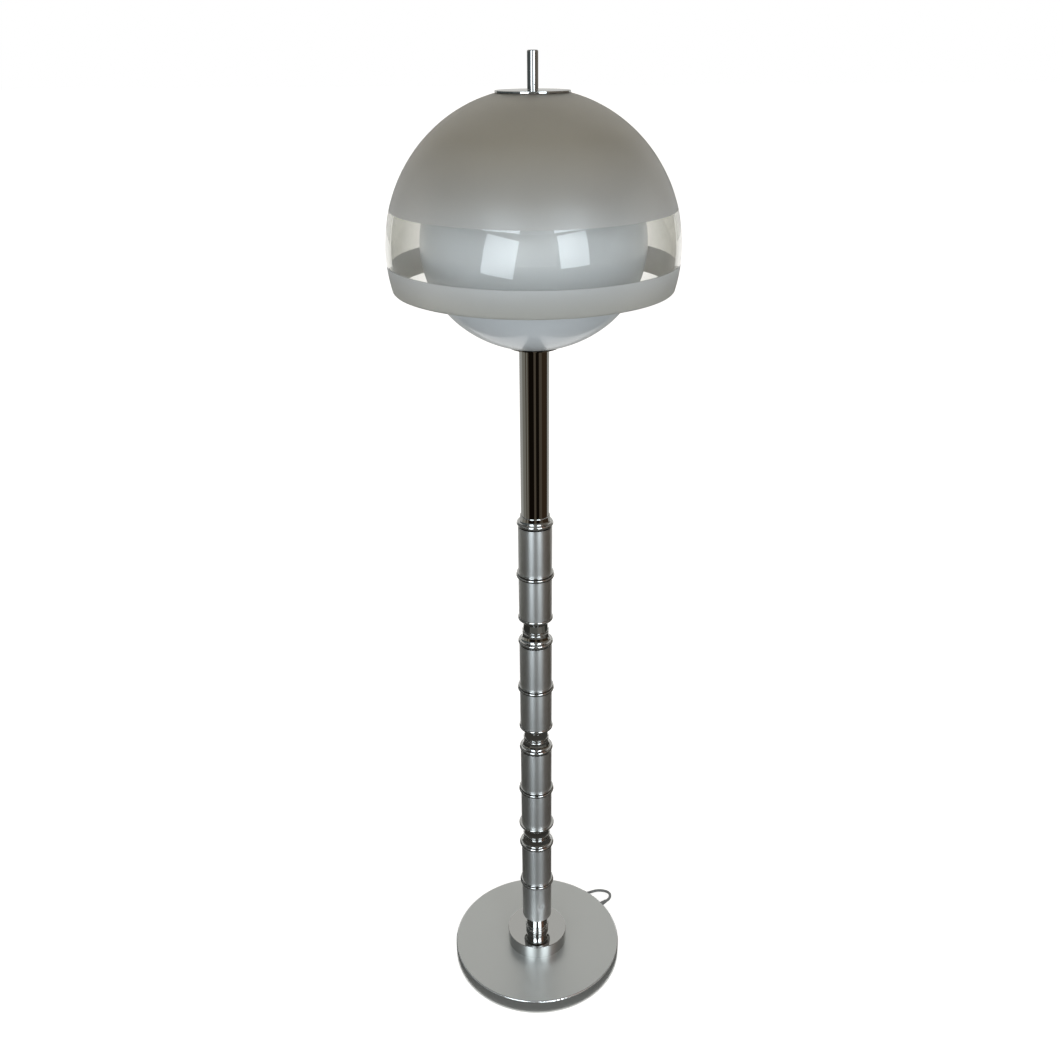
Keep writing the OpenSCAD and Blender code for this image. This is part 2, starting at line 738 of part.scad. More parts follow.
module bulb_caps() {
    color("darkgoldenrod") for (k = [1 : HOLDERS]) at_holder(k)
        translate([0, 0, holder_top - holder_floor + 1]) difference() {
            cylinder(h = holder_floor - 1 - fit, r = cap_r);
            translate([0, 0, 2]) cylinder(h = holder_floor, r = cap_r - 1.5);
        }
}

module top_rod() {
    // It is screwed into the top of the threaded stem
    bottom = stem_top - 10;
    top = finial_z + finial_bore_h - 3;
    color("lightgray") translate([0, 0, bottom]) cylinder(h = top - bottom, r = top_rod_r);
}

// Dome

module carrier() {
    color("darkgray") union() {
        shell(dome_c, carrier_out, carrier_t, top_rod_r + fit, carrier_r);
        ring(dome_c + carrier_out - carrier_t - 10, 11, 9, top_rod_r + fit);
    }
}

module carrier_pad() {
    color("black") shell(dome_c, dome_in_r - part_gap, pad_t, carrier_r - carrier_pad_w, carrier_r);
}

module dome() {
    rim = -asin((dome_drop - dome_t / 2) / (dome_r - dome_t / 2));
    color([0.8, 0.8, 0.76, 0.5]) translate([0, 0, dome_c]) rotate_extrude() {
        difference() {
            wall_arc(dome_r, dome_t, rim, 90);
            square([dome_hole_r, dome_r + over]);
        }
        glass_rim(dome_r, dome_t, rim);
    }
}

module cap_pad() {
    // Its underside slopes as the glass does
    a = dome_hole_r + fit;
    color("black") translate([0, 0, dome_c]) rotate_extrude() polygon([
        [a, sqrt(pow(dome_r, 2) - pow(a, 2)) + fit],
        [cap_pad_r, sqrt(pow(dome_r, 2) - pow(cap_pad_r, 2)) + fit],
        [cap_pad_r, cap_z - dome_c - fit], [a, cap_z - dome_c - fit]]);
}

module cap_plate() {
    color("lightgray") translate([0, 0, cap_z]) rotate_extrude() union() {
        translate([top_rod_r + slip, 0]) square([cap_r_out - top_rod_r - slip - 0.3, cap_t]);
        square_rim = cap_z - cap_skirt_z;
        translate([cap_r_out - cap_rim_t, -square_rim]) square([cap_rim_t, square_rim + cap_t - 0.3]);
    }
}

module finial() {
    round_r = 1.5;
    color("lightgray") difference() {
        translate([0, 0, finial_z]) rotate_extrude() union() {
            square([finial_r, finial_h - round_r]);
            square([finial_r - round_r, finial_h]);
            translate([finial_r - round_r, finial_h - round_r]) circle(r = round_r, $fn = 32);
        }
        translate([0, 0, finial_z - over]) cylinder(h = finial_bore_h + over, r = top_rod_r + fit);
    }
}

// Leads inside the lamp

module inner_lead() {
    start = base_r - cover_t - 3;
    drop = outlet_h - lead_floor_z;
    up_z = lead_floor_z + lead_bend;
    color("dimgray") {
        // In through the channel, down to the floor of the recess and in to the axis,
        // then up the tie rod and the threaded stem
        rotate([0, 0, cord_az]) swept([
            [start, 0, outlet_h],
            for (u = [0 : 0.25 : 1]) [start - lead_straight - lead_fall * u, 0, outlet_h - drop * smooth(u)],
            for (a = [0 : 15 : 90]) [lead_bend * (1 - sin(a)), 0, up_z - lead_bend * cos(a)],
            [0, 0, up_z + 4], [0, 0, lead_hole_z]], lead_r, 8, [0, 1, 0]);
        for (k = [1 : HOLDERS]) holder_lead(k);
    }
}

module holder_lead(k) {
    // Out of the stem's side hole and up into the holder
    bend = 6;
    z = lead_hole_z - 3;
    rotate([0, 0, holder_az(k)]) swept([[0.4, 0, z], [holder_at - bend, 0, z],
        for (a = [15 : 15 : 90]) [holder_at - bend + bend * sin(a), 0, z + bend - bend * cos(a)],
        [holder_at, 0, holder_z + 4]], 1.2, 8, [0, 1, 0]);
}

// Cord

module cord_boot() {
    color("dimgray") rotate([0, 0, cord_az]) translate([base_r, 0, outlet_h]) rotate([0, 90, 0]) union() {
        translate([0, 0, slip]) cylinder(h = boot_flange_t, r = boot_flange_r, $fn = 48);
        translate([0, 0, slip]) cylinder(h = boot_len - slip, r1 = boot_r, r2 = boot_tip_r, $fn = 48);
        translate([0, 0, -cover_t - 3]) cylinder(h = cover_t + 3 + over, r = boot_r, $fn = 48);
    }
}

module cord_run() {
    color("gray") swept(RUN, cord_r, 10);
}

module cord_hank() {
    color("gray") swept(HANK, cord_r, 6);
}

module hank_tie() {
    gap = 0.3;
    near = pow(cos(180 * tie_w / 2 / hank_run), 2);
    right = hank_r + hank_step * (TURNS_PER_LAYER + RUN_SHARE) - hank_draw * near + cord_r + gap;
    left = hank_r + hank_step * (TURNS_PER_LAYER - 0.25) - hank_draw * near + cord_r + gap;
    top = hank_z + hank_layer * (TURNS / TURNS_PER_LAYER - 1) + waist_lift + cord_r + gap;
    r = 4;
    color("black") translate([0, hank_mid_y + tie_w / 2, 0]) rotate([90, 0, 0]) linear_extrude(tie_w)
        difference() {
            rounded(-left - tie_t, right + tie_t, 0, top + tie_t, r + tie_t);
            rounded(-left, right, tie_t, top, r);
        }
}

// A rectangle with round corners, between two x and two y
module rounded(x0, x1, y0, y1, r) {
    translate([x0 + r, y0]) square([x1 - x0 - 2 * r, y1 - y0]);
    translate([x0, y0 + r]) square([x1 - x0, y1 - y0 - 2 * r]);
    for (x = [x0 + r, x1 - r]) for (y = [y0 + r, y1 - r]) translate([x, y]) circle(r = r, $fn = 32);
}

module at_switch() {
    translate([switch_x, switch_y + switch_len / 2, 0]) children();
}

module switch_body() {
    r = 6;
    well_w = rocker_w + 1;
    well_len = rocker_len + 2;
    color("black") at_switch() difference() {
        linear_extrude(switch_h) rounded(-switch_w / 2, switch_w / 2, -switch_len / 2, switch_len / 2, r);
        // The rocker's well and the bores of its pin
        translate([-well_w / 2, -well_len / 2, switch_h - rocker_well_h])
            cube([well_w, well_len, rocker_well_h + over]);
        translate([-well_w / 2 - 2, 0, rocker_pin_z - 2]) rotate([0, 90, 0])
            cylinder(h = well_w + 4, r = rocker_pin_r + fit, $fn = 32);
    }
}

module switch_rocker() {
    // A round pin carries the rocker, whose two arms slope away from it
    r = 5.5;
    color("dimgray") at_switch() translate([0, 0, rocker_pin_z - 2]) rotate([rocker_tilt, 0, 0]) union() {
        rotate([0, 90, 0]) translate([0, 0, -rocker_w / 2 - 2.4])
            cylinder(h = rocker_w + 4.8, r = rocker_pin_r, $fn = 32);
        translate([-rocker_w / 2, 0, 0]) rotate([90, 0, 90]) linear_extrude(rocker_w)
            polygon([[-rocker_len / 2, 1], [-3, -2.5], [3, -2.5], [rocker_len / 2, 1],
                [rocker_len / 2, r], [0, r - 1.4], [-rocker_len / 2, r]]);
    }
}

module plug_body() {
    half = plug_w / 2;
    nose = 9;
    color("black") translate([plug_x, plug_y, 0]) union() {
        linear_extrude(plug_t) polygon([[-nose, 5], [nose, 5], [half, 14],
            [half - 1, plug_len], [-half + 1, plug_len], [-half, 14]]);
        translate([0, 0, plug_cord_z]) rotate([-90, 0, 0])
            cylinder(h = 6, r1 = cord_r + 0.8, r2 = plug_cord_z - 1, $fn = 32);
    }
}

module plug_pins() {
    pin_r = 2;
    spread = 18.6;
    reach = 19;
    color("gold") for (side = [-1, 1])
        translate([plug_x + side * spread / 2, plug_y + plug_len, plug_cord_z]) rotate([-90, 0, 0]) {
            cylinder(h = reach - 1, r = pin_r, $fn = 32);
            translate([0, 0, reach - 1]) cylinder(h = 1, r1 = pin_r, r2 = pin_r - 0.8, $fn = 32);
        }
}

base_cover();
ballast();
foot_ring();
base_nut();
puck();
foot_spool();
for (k = [1 : MODULES]) {
    lower_sleeve(k);
    mid_ring(k);
    upper_sleeve(k);
    collar(k);
}
for (k = [1 : MODULES - 1]) neck(k);
tie_rod();
lower_plug();
stem_tube();
upper_plug();
seat_plate();
bowl_pads();
bowl();
bowl_cone();
inner_stem();
holder_plate();
for (k = [1 : HOLDERS]) {
    lampholder(k);
    bulb(k);
}
bulb_caps();
top_rod();
carrier();
carrier_pad();
dome();
cap_pad();
cap_plate();
finial();
inner_lead();
cord_boot();
cord_run();
cord_hank();
hank_tie();
switch_body();
switch_rocker();
plug_body();
plug_pins();
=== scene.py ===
"""Floor lamp: a frosted glass dome with a clear band over an opal bowl, on a chromed
tube, a column of turned satin modules and a weighted round base."""

import math

import bmesh
import bpy
from mathutils import Matrix, Vector


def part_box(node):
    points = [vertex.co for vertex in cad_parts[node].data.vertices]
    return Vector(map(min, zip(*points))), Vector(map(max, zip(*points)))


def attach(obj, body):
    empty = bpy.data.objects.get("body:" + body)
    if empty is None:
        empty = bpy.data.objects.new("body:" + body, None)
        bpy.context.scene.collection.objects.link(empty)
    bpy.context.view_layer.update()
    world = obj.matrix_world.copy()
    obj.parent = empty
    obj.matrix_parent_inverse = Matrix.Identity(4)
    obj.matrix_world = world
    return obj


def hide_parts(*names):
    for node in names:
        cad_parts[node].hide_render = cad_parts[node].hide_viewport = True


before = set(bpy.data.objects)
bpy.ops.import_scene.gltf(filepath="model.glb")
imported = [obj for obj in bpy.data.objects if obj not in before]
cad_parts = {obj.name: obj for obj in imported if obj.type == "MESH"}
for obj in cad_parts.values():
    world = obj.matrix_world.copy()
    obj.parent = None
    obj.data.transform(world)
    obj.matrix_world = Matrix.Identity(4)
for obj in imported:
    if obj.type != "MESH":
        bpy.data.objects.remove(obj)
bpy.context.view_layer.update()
MM = 0.001


# Camera

CAMERA_AT = Vector((0, -1.4393, 1.5250))
CAMERA_PITCH = math.radians(-26.40)
CAMERA_YAW = math.radians(0.227)
CAMERA_ROLL = math.radians(-0.40)
FOCAL_PX = 1048.71
FRAME_PX = 1063
CENTRE_Y_PX = 560.0
SENSOR_MM = 36


def make_camera():
    """The photograph's camera: a little above the lamp's top, looking down at it."""
    data = bpy.data.cameras.new("camera")
    data.sensor_width = SENSOR_MM
    data.lens = FOCAL_PX / FRAME_PX * SENSOR_MM
    data.shift_y = (CENTRE_Y_PX - FRAME_PX / 2) / FRAME_PX
    data.clip_start = 0.05
    data.clip_end = 60
    camera = bpy.data.objects.new("camera", data)
    camera.matrix_world = (
        Matrix.Translation(CAMERA_AT)
        @ Matrix.Rotation(CAMERA_YAW, 4, "Z")
        @ Matrix.Rotation(math.pi / 2 + CAMERA_PITCH, 4, "X")
        @ Matrix.Rotation(CAMERA_ROLL, 4, "Z")
    )
    bpy.context.scene.collection.objects.link(camera)
    bpy.context.scene.camera = camera


make_camera()


# Helpers


def span(node):
    """A turned node's largest radius, lowest and highest point."""
    low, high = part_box(node)
    return max(high.x, -low.x, high.y, -low.y), low.z, high.z


# Where a mix node's two colours go in and the mixed one comes out
MIX_A, MIX_B, MIX_OUT = 6, 7, 2


def add(tree, kind, inputs=None, **settings):
    """Adds a shader node with its settings, its values and the sockets or nodes that feed them."""
    new = tree.nodes.new(kind)
    for name, value in settings.items():
        setattr(new, name, value)
    for name, value in (inputs or {}).items():
        if isinstance(value, bpy.types.Node):
            value = value.outputs[0]
        if isinstance(value, bpy.types.NodeSocket):
            tree.links.new(value, new.inputs[name])
        else:
            new.inputs[name].default_value = value
    return new


def linear(hex_colour):
    """A colour written as sRGB hex, as linear red, green, blue and 1."""
    parts = [int(hex_colour[i : i + 2], 16) / 255 for i in (1, 3, 5)]
    return [x / 12.92 if x <= 0.04045 else ((x + 0.055) / 1.055) ** 2.4 for x in parts] + [1.0]


def new_material(name):
    """An empty material and its tree."""
    material = bpy.data.materials.new(name)
    material.use_nodes = True
    material.node_tree.nodes.clear()
    return material, material.node_tree


def surface(tree, inputs):
    """Ends a tree in a Principled surface."""
    shader = add(tree, "ShaderNodeBsdfPrincipled", inputs)
    add(tree, "ShaderNodeOutputMaterial", {"Surface": shader})


def coordinates(tree, scale=(1, 1, 1)):
    """The piece's own coordinates in metres, stretched by a scale."""
    own = add(tree, "ShaderNodeTexCoord").outputs["Object"]
    return add(tree, "ShaderNodeMapping", {"Vector": own, "Scale": scale})


def scale_for(size_mm):
    """The scale that makes a pattern this many millimetres wide."""
    return 1 / (size_mm * MM)


def finish_mesh(bm, name, materials, smooth_under=32):
    """Makes an object from a bmesh, smooth but for edges sharper than an angle."""
    mesh = bpy.data.meshes.new(name)
    bm.to_mesh(mesh)
    bm.free()
    mesh.shade_smooth()
    mesh.set_sharp_from_angle(angle=math.radians(smooth_under))
    for material in materials:
        mesh.materials.append(material)
    piece = bpy.data.objects.new(name, mesh)
    bpy.context.scene.collection.objects.link(piece)
    return piece


def place(piece, body, replaced):
    """Says what a piece rides on and stands for."""
    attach(piece, body)
    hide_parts(*replaced)
    return piece


ROUND_STEPS = 4
TURN_STEPS = 144
WIDE_TURN_STEPS = 192
SAME_POINT = 1e-6
FLAT_EDGE = math.radians(0.5)
SHARP_EDGE = math.radians(40)


def arc(centre, radius, start, end, steps):
    """Points of an arc in the plane of an outline, angles in degrees."""
    angles = [math.radians(start + (end - start) * i / steps) for i in range(steps + 1)]
    return [(centre[0] + radius * math.cos(a), centre[1] + radius * math.sin(a)) for a in angles]


def rounded(points):
    """Outline points in millimetres, those with a third value rounded over by that much."""
    outline = []
    for i, point in enumerate(points):
        corner = Vector(point[:2])
        if len(point) == 2:
            outline.append(corner)
            continue
        before = (Vector(points[i - 1][:2]) - corner).normalized() * point[2]
        after = (Vector(points[(i + 1) % len(points)][:2]) - corner).normalized() * point[2]
        for k in range(ROUND_STEPS + 1):
            t = k / ROUND_STEPS
            outline.append(corner + (1 - t) ** 2 * before + t**2 * after)
    return [(p.x * MM, p.y * MM) for p in outline]


def spun(outline, steps=TURN_STEPS):
    """A bmesh turned about the lamp's axis from an outline of (radius, height).

    The outline closes on itself, or starts and ends on the axis.
    """
    bm = bmesh.new()
    verts = [bm.verts.new((r, 0, z)) for r, z in outline]
    edges = [bm.edges.new(pair) for pair in zip(verts, verts[1:])]
    if outline[0][0] > 0:
        edges.append(bm.edges.new((verts[-1], verts[0])))
    bmesh.ops.spin(
        bm,
        geom=verts + edges,
        cent=(0, 0, 0),
        axis=(0, 0, 1),
        angle=2 * math.pi,
        steps=steps,
        use_merge=True,
    )
    bmesh.ops.remove_doubles(bm, verts=bm.verts, dist=SAME_POINT)
    bmesh.ops.recalc_face_normals(bm, faces=bm.faces)
    return bm


def turned_piece(node, points, material, body="stand", steps=TURN_STEPS, painted_shade_bands=()):
    """A turned piece with soft edges in place of a CAD node, from (radius, height, rounding).

    Its faces between the lowest and highest level of each given pair get the dark groove metal, a painted
    shade.
    """
    bm = spun(rounded(points), steps)
    for face in bm.faces:
        level = face.calc_center_median().z / MM
        face.material_index = int(any(low < level < high for low, high in painted_shade_bands))
    piece = finish_mesh(bm, node + "_turned", [material, PAINTED_GROOVE_SHADE] if painted_shade_bands else [material])
    place(piece, body, [node])


def bead(crest, foot, middle, half):
    """Outline points of a bead: its crest's and foot's radius, its middle's height, half its own."""
    rise = crest - foot
    radius = (half**2 + rise**2) / (2 * rise)
    tilt = math.degrees(math.asin(half / radius))
    return arc((crest - radius, middle), radius, -tilt, tilt, 12)


def softened(node, body, material, width):
    """A copy of a CAD node with its sharp edges rounded over."""
    bm = bmesh.new()
    bm.from_mesh(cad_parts[node].data)
    bmesh.ops.remove_doubles(bm, verts=bm.verts, dist=SAME_POINT)
    bmesh.ops.dissolve_limit(bm, angle_limit=FLAT_EDGE, verts=bm.verts, edges=bm.edges)
    sharp = [e for e in bm.edges if e.is_manifold and e.calc_face_angle() > SHARP_EDGE]
    bmesh.ops.bevel(
        bm,
        geom=sharp,
        offset=width,
        segments=3,
        profile=0.5,
        affect="EDGES",
        material=-1,
        clamp_overlap=True,
    )
    piece = finish_mesh(bm, node + "_soft", [material])
    return place(piece, body, [node])


# Cord: its route is the part's own, in millimetres, and its other sizes are in metres

CORD_D = 5 * MM
CORD_OUT = math.radians(38)
OUTLET_Z = 11 * MM
BASE_R, _, BASE_TOP = span("base_cover")
BOOT_LEN = 21.3 * MM
SWITCH_X = 11
SWITCH_CORD_Z = 6.5
SWITCH_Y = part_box("switch_body")[0].y / MM
SWITCH_END_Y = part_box("switch_body")[1].y / MM
PLUG_X = 10
PLUG_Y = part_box("plug_body")[0].y / MM
PLUG_CORD_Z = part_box("plug_body")[1].z / MM / 2


def outlet_point(out):
    """A point on the straight line out of the base, this far from its side, in millimetres."""
    reach = (BASE_R + out) / MM
    return (reach * math.cos(CORD_OUT), reach * math.sin(CORD_OUT), OUTLET_Z / MM)


RUN = [
    outlet_point(BOOT_LEN),
    outlet_point(BOOT_LEN + CORD_D),
    (142.6, 114.2, 10.6),
    (144.2, 120.8, 9.6),
    (143.8, 127.8, 8),
    (140.4, 134.3, 6.2),
    (134.4, 139.2, 4.5),
    (127, 142, 3.2),
    (119, 142.2, 2.7),
    (111, 140, 2.6),
    (103.5, 137, 2.6),
    (96, 135.2, 2.6),
    (88.5, 136, 2.6),
    (81, 139, 2.6),
    (72.5, 142.8, 2.6),
    (63, 146.6, 2.6),
    (53, 150.3, 2.6),
    (43, 153.8, 2.6),
    (34, 156.3, 2.6),
    (27, 158.2, 2.6),
    (21.5, 160.8, 2.6),
    (17, 164.5, 2.9),
    (13.6, 168.8, 3.8),
    (11.7, 173.5, 5.2),
    (SWITCH_X, SWITCH_Y - 5, SWITCH_CORD_Z),
    (SWITCH_X, SWITCH_Y, SWITCH_CORD_Z),
]
LEAD_IN = [
    (SWITCH_X, SWITCH_END_Y, SWITCH_CORD_Z),
    (SWITCH_X, SWITCH_END_Y + 5, SWITCH_CORD_Z),
    (11.7, 247.6, 5.4),
    (14.2, 254.5, 3.6),
    (17.4, 260.5, 2.8),
    (20.4, 266.5, 2.6),
    (22.9, 272.5, 2.6),
    (24.3, 278, 2.6),
]
TAIL = [
    (24.4, 363, 19.4),
    (24, 370, 18.9),
    (22.6, 377, 17.2),
    (20.2, 384, 14.5),
    (17, 390.5, 11.4),
    (13.6, 396.8, 8.8),
    (11, 403, 7.3),
    (PLUG_X, PLUG_Y - 5, PLUG_CORD_Z),
    (PLUG_X, PLUG_Y, PLUG_CORD_Z),
]
TURNS = 6
TURNS_PER_LAYER = 1.5
LOOP_POINTS = 48
RUN_SHARE = 1 / 8
HANK_RUN = 75
HANK_R = 15
HANK_STEP = 5.9
HANK_LAYER = 5.6
HANK_DRAW = 6
HANK_GAP = 46
HANK_MID_Y = SWITCH_END_Y + HANK_GAP + HANK_RUN / 2
HANK_Z = 2.6
WAIST_LIFT = 1.4


def eased(x):
    """A smooth step from 0 to 1."""
    x = max(0, min(1, x))
    return x * x * (3 - 2 * x)


def lane(s):
    """How many steps out from the tightest loop the cord is, after s turns."""
    if s < 0:
        return TURNS_PER_LAYER - s
    if s > TURNS:
        return TURNS_PER_LAYER + s - TURNS
    pair = 2 * TURNS_PER_LAYER
    return abs(s - pair * math.floor(s / pair) - TURNS_PER_LAYER)


def hank_point(s):
    """A point of the hank after s turns: a run, an end loop, a run and an end loop."""
    width = HANK_R + HANK_STEP * lane(s)
    part = 4 * ((s + RUN_SHARE) % 1)
    angle = math.pi * (part - 1 if part < 2 else part - 2)
    half = HANK_RUN / 2
    if part < 1:
        x, y = width, HANK_RUN * part - half
    elif part < 2:
        x, y = width * math.cos(angle), half + width * math.sin(angle)
    elif part < 3:
        x, y = -width, half - HANK_RUN * (part - 2)
    else:
        x, y = width * math.cos(angle), width * math.sin(angle) - half
    waist = math.cos(math.pi * y / HANK_RUN) ** 2 if abs(y) < half else 0
    climb = sum(eased((s - k * TURNS_PER_LAYER) / (2 * RUN_SHARE) + 0.5) for k in (1, 2, 3))
    x -= math.copysign(HANK_DRAW * waist, x)
    return (x, HANK_MID_Y + y, HANK_Z + HANK_LAYER * climb + WAIST_LIFT * waist)


def cord_piece(name, route, material):
    """A round cord along a route in millimetres."""
    data = bpy.data.curves.new(name, "CURVE")
    data.dimensions = "3D"
    data.resolution_u = 6
    data.bevel_depth = CORD_D / 2
    data.bevel_resolution = 4
    data.use_fill_caps = True
    spline = data.splines.new("BEZIER")
    spline.bezier_points.add(len(route) - 1)
    for point, at in zip(spline.bezier_points, route):
        point.co = Vector(at) * MM
        point.handle_left_type = point.handle_right_type = "AUTO"
    data.materials.append(material)
    piece = bpy.data.objects.new(name, data)
    bpy.context.scene.collection.objects.link(piece)
    return piece


# Materials

# Heights between which the dome's glass is clear
GLASS_BAND_LOW = 1.2600
GLASS_BAND_HIGH = 1.3280
GLASS_IOR = 1.5


def satin_base_metal():
    """Spun steel under satin silver lacquer: a soft sheen over a fine grain, its top edge painted lighter as a
    highlight and also made smoother.

    The real grain is finer than a picture of the whole lamp shows, so it is drawn 1.1 mm wide.
    """
    material, tree = new_material("satin_silver_lacquered_steel")
    point = coordinates(tree)
    cloud = add(tree, "ShaderNodeTexNoise", {"Vector": point, "Scale": scale_for(111), "Detail": 3.0})
    grain = add(
        tree,
        "ShaderNodeTexNoise",
        {"Vector": point, "Scale": scale_for(1.11), "Detail": 2.0, "Roughness": 0.6},
    )
    flat = coordinates(tree, (1, 1, 0))
    from_axis = add(tree, "ShaderNodeVectorMath", {0: flat}, operation="LENGTH").outputs["Value"]
    height = add(tree, "ShaderNodeSeparateXYZ", {"Vector": point}).outputs["Z"]
    edge_r = add(
        tree,
        "ShaderNodeMapRange",
        {"Value": from_axis, "From Min": BASE_R - 2.2 * MM, "From Max": BASE_R - 1.2 * MM},
    )
    edge_z = add(
        tree,
        "ShaderNodeMapRange",
        {"Value": height, "From Min": BASE_TOP - 2.4 * MM, "From Max": BASE_TOP - 1.6 * MM},
    )
    # Painted highlight: a band along the top edge is painted lighter, and it is also made smoother
    edge_highlight_and_polish = add(tree, "ShaderNodeMath", {0: edge_r, 1: edge_z}, operation="MULTIPLY")
    lacquer = add(
        tree,
        "ShaderNodeMix",
        {0: cloud, MIX_A: linear("#c5c6c3"), MIX_B: linear("#cecfcc")},
        data_type="RGBA",
    )
    tone = add(
        tree,
        "ShaderNodeMix",
        {0: edge_highlight_and_polish, MIX_A: lacquer.outputs[MIX_OUT], MIX_B: linear("#e4e5e3")},
        data_type="RGBA",
    )
    satin = add(
        tree,
        "ShaderNodeMapRange",
        {"Value": cloud, "From Min": 0.3, "From Max": 0.7, "To Min": 0.34, "To Max": 0.39},
    )
    rough = add(tree, "ShaderNodeMapRange", {"Value": edge_highlight_and_polish, "To Min": satin, "To Max": 0.16})
    bump = add(tree, "ShaderNodeBump", {"Height": grain, "Strength": 0.12, "Distance": 0.05 * MM})
    surface(
        tree,
        {
            "Base Color": tone.outputs[MIX_OUT],
            "Metallic": 0.85,
            "Roughness": rough,
            "Coat Weight": 0.35,
            "Coat Roughness": 0.08,
            "Normal": bump,
        },
    )
    return material


def chrome(name, tone, roughness, smear):
    """Chromium plate over polished steel: a mirror with faint wiping smears."""
    material, tree = new_material(name)
    cloud = add(
        tree,
        "ShaderNodeTexNoise",
        {
            "Vector": coordinates(tree, (1, 1, 0.35)),
            "Scale": scale_for(26.3),
            "Detail": 4.0,
            "Roughness": 0.55,
        },
    )
    rough = add(
        tree,
        "ShaderNodeMapRange",
        {"Value": cloud, "From Min": 0.35, "From Max": 0.75, "To Min": roughness, "To Max": roughness + smear},
    )
    surface(tree, {"Base Color": linear(tone), "Metallic": 1.0, "Roughness": rough})
    return material


def satin_sleeve_metal():
    """Satin chromed tube, brushed around: fine rings that spread the light along the tube.

    Real brushing is finer than a picture of the whole lamp shows, so its rings are drawn 0.7 mm wide.
    """
    material, tree = new_material("satin_brushed_steel_tube")
    around_it = scale_for(83.3)
    rings = add(
        tree,
        "ShaderNodeTexNoise",
        {
            "Vector": coordinates(tree, (around_it, around_it, scale_for(0.714))),
            "Scale": 1.0,
            "Detail": 3.0,
            "Roughness": 0.6,
        },
    )
    cloud = add(
        tree,
        "ShaderNodeTexNoise",
        {"Vector": coordinates(tree), "Scale": scale_for(45.5), "Detail": 3.0},
    )
    tone = add(
        tree,
        "ShaderNodeMix",
        {0: cloud, MIX_A: linear("#e3e3e1"), MIX_B: linear("#ebebe9")},
        data_type="RGBA",
    )
    rough = add(
        tree,
        "ShaderNodeMapRange",
        {"Value": rings, "From Min": 0.25, "From Max": 0.75, "To Min": 0.38, "To Max": 0.48},
    )
    bump = add(tree, "ShaderNodeBump", {"Height": rings, "Strength": 0.08, "Distance": 0.05 * MM})
    surface(
        tree,
        {
            "Base Color": tone.outputs[MIX_OUT],
            "Metallic": 1.0,
            "Roughness": rough,
            "Anisotropic": 0.8,
            "Anisotropic Rotation": 0.25,
            "Tangent": add(tree, "ShaderNodeTangent", direction_type="RADIAL", axis="Z"),
            "Normal": bump,
        },
    )
    return material


def etched_glass(name, tone_low, tone_high, band_glow_tone, fade, roughness, through):
    """Blown glass, acid etched: spreads the light that goes through and off it.

    Over the last of the way to the clear band its tone fades to a lighter one: a painted glow of the lit bowl
    behind the glass.
    """
    material, tree = new_material(name)
    point = coordinates(tree)
    cloud = add(tree, "ShaderNodeTexNoise", {"Vector": point, "Scale": scale_for(71.4), "Detail": 3.0})
    height = add(tree, "ShaderNodeSeparateXYZ", {"Vector": point}).outputs["Z"]
    middle = (GLASS_BAND_LOW + GLASS_BAND_HIGH) / 2
    edge = GLASS_BAND_HIGH - middle
    off_middle = add(tree, "ShaderNodeMath", {0: height, 1: middle}, operation="SUBTRACT")
    away = add(tree, "ShaderNodeMath", {0: off_middle}, operation="ABSOLUTE")
    # Painted light: near the clear band the etched tone lightens, as if lit by the bowl behind
    beyond_band_glow = add(tree, "ShaderNodeMapRange", {"Value": away, "From Min": edge, "From Max": edge + fade})
    etched = add(
        tree,
        "ShaderNodeMix",
        {0: cloud, MIX_A: linear(tone_low), MIX_B: linear(tone_high)},
        data_type="RGBA",
    )
    tone = add(
        tree,
        "ShaderNodeMix",
        {0: beyond_band_glow, MIX_A: linear(band_glow_tone), MIX_B: etched.outputs[MIX_OUT]},
        data_type="RGBA",
    )
    rough = add(
        tree,
        "ShaderNodeMapRange",
        {"Value": cloud, "From Min": 0.3, "From Max": 0.7, "To Min": roughness, "To Max": roughness + 0.06},
    )
    surface(
        tree,
        {
            "Base Color": tone.outputs[MIX_OUT],
            "Roughness": rough,
            "IOR": GLASS_IOR,
            "Transmission Weight": through,
        },
    )
    return material


def clear_glass():
    """The dome's unetched band: clear glass, greyer where the eye looks along its wall."""
    material, tree = new_material("clear_blown_glass")
    slant = add(tree, "ShaderNodeLayerWeight", {"Blend": 0.5}).outputs["Facing"]
    depth = add(tree, "ShaderNodeMapRange", {"Value": slant, "From Min": 0.15, "From Max": 0.6})
    tone = add(
        tree,
        "ShaderNodeMix",
        {0: depth, MIX_A: linear("#f0f0ee"), MIX_B: linear("#c4c4bc")},
        data_type="RGBA",
    )
    surface(
        tree,
        {
            "Base Color": tone.outputs[MIX_OUT],
            "Roughness": 0.02,
            "IOR": GLASS_IOR,
            "Transmission Weight": 1.0,
        },
    )
    return material


def opal_glass():
    """Opal glass, flashed white: milky inside under a fire polished skin."""
    material, tree = new_material("opal_glass")
    cloud = add(
        tree,
        "ShaderNodeTexNoise",
        {"Vector": coordinates(tree), "Scale": scale_for(100), "Detail": 2.0},
    )
    tone = add(
        tree,
        "ShaderNodeMix",
        {0: cloud, MIX_A: linear("#c9cfd4"), MIX_B: linear("#d0d6da")},
        data_type="RGBA",
    )
    surface(
        tree,
        {
            "Base Color": tone.outputs[MIX_OUT],
            "Roughness": 0.35,
            "IOR": GLASS_IOR,
            "Transmission Weight": 0.1,
            "Coat Weight": 0.5,
            "Coat Roughness": 0.06,
        },
    )
    return material


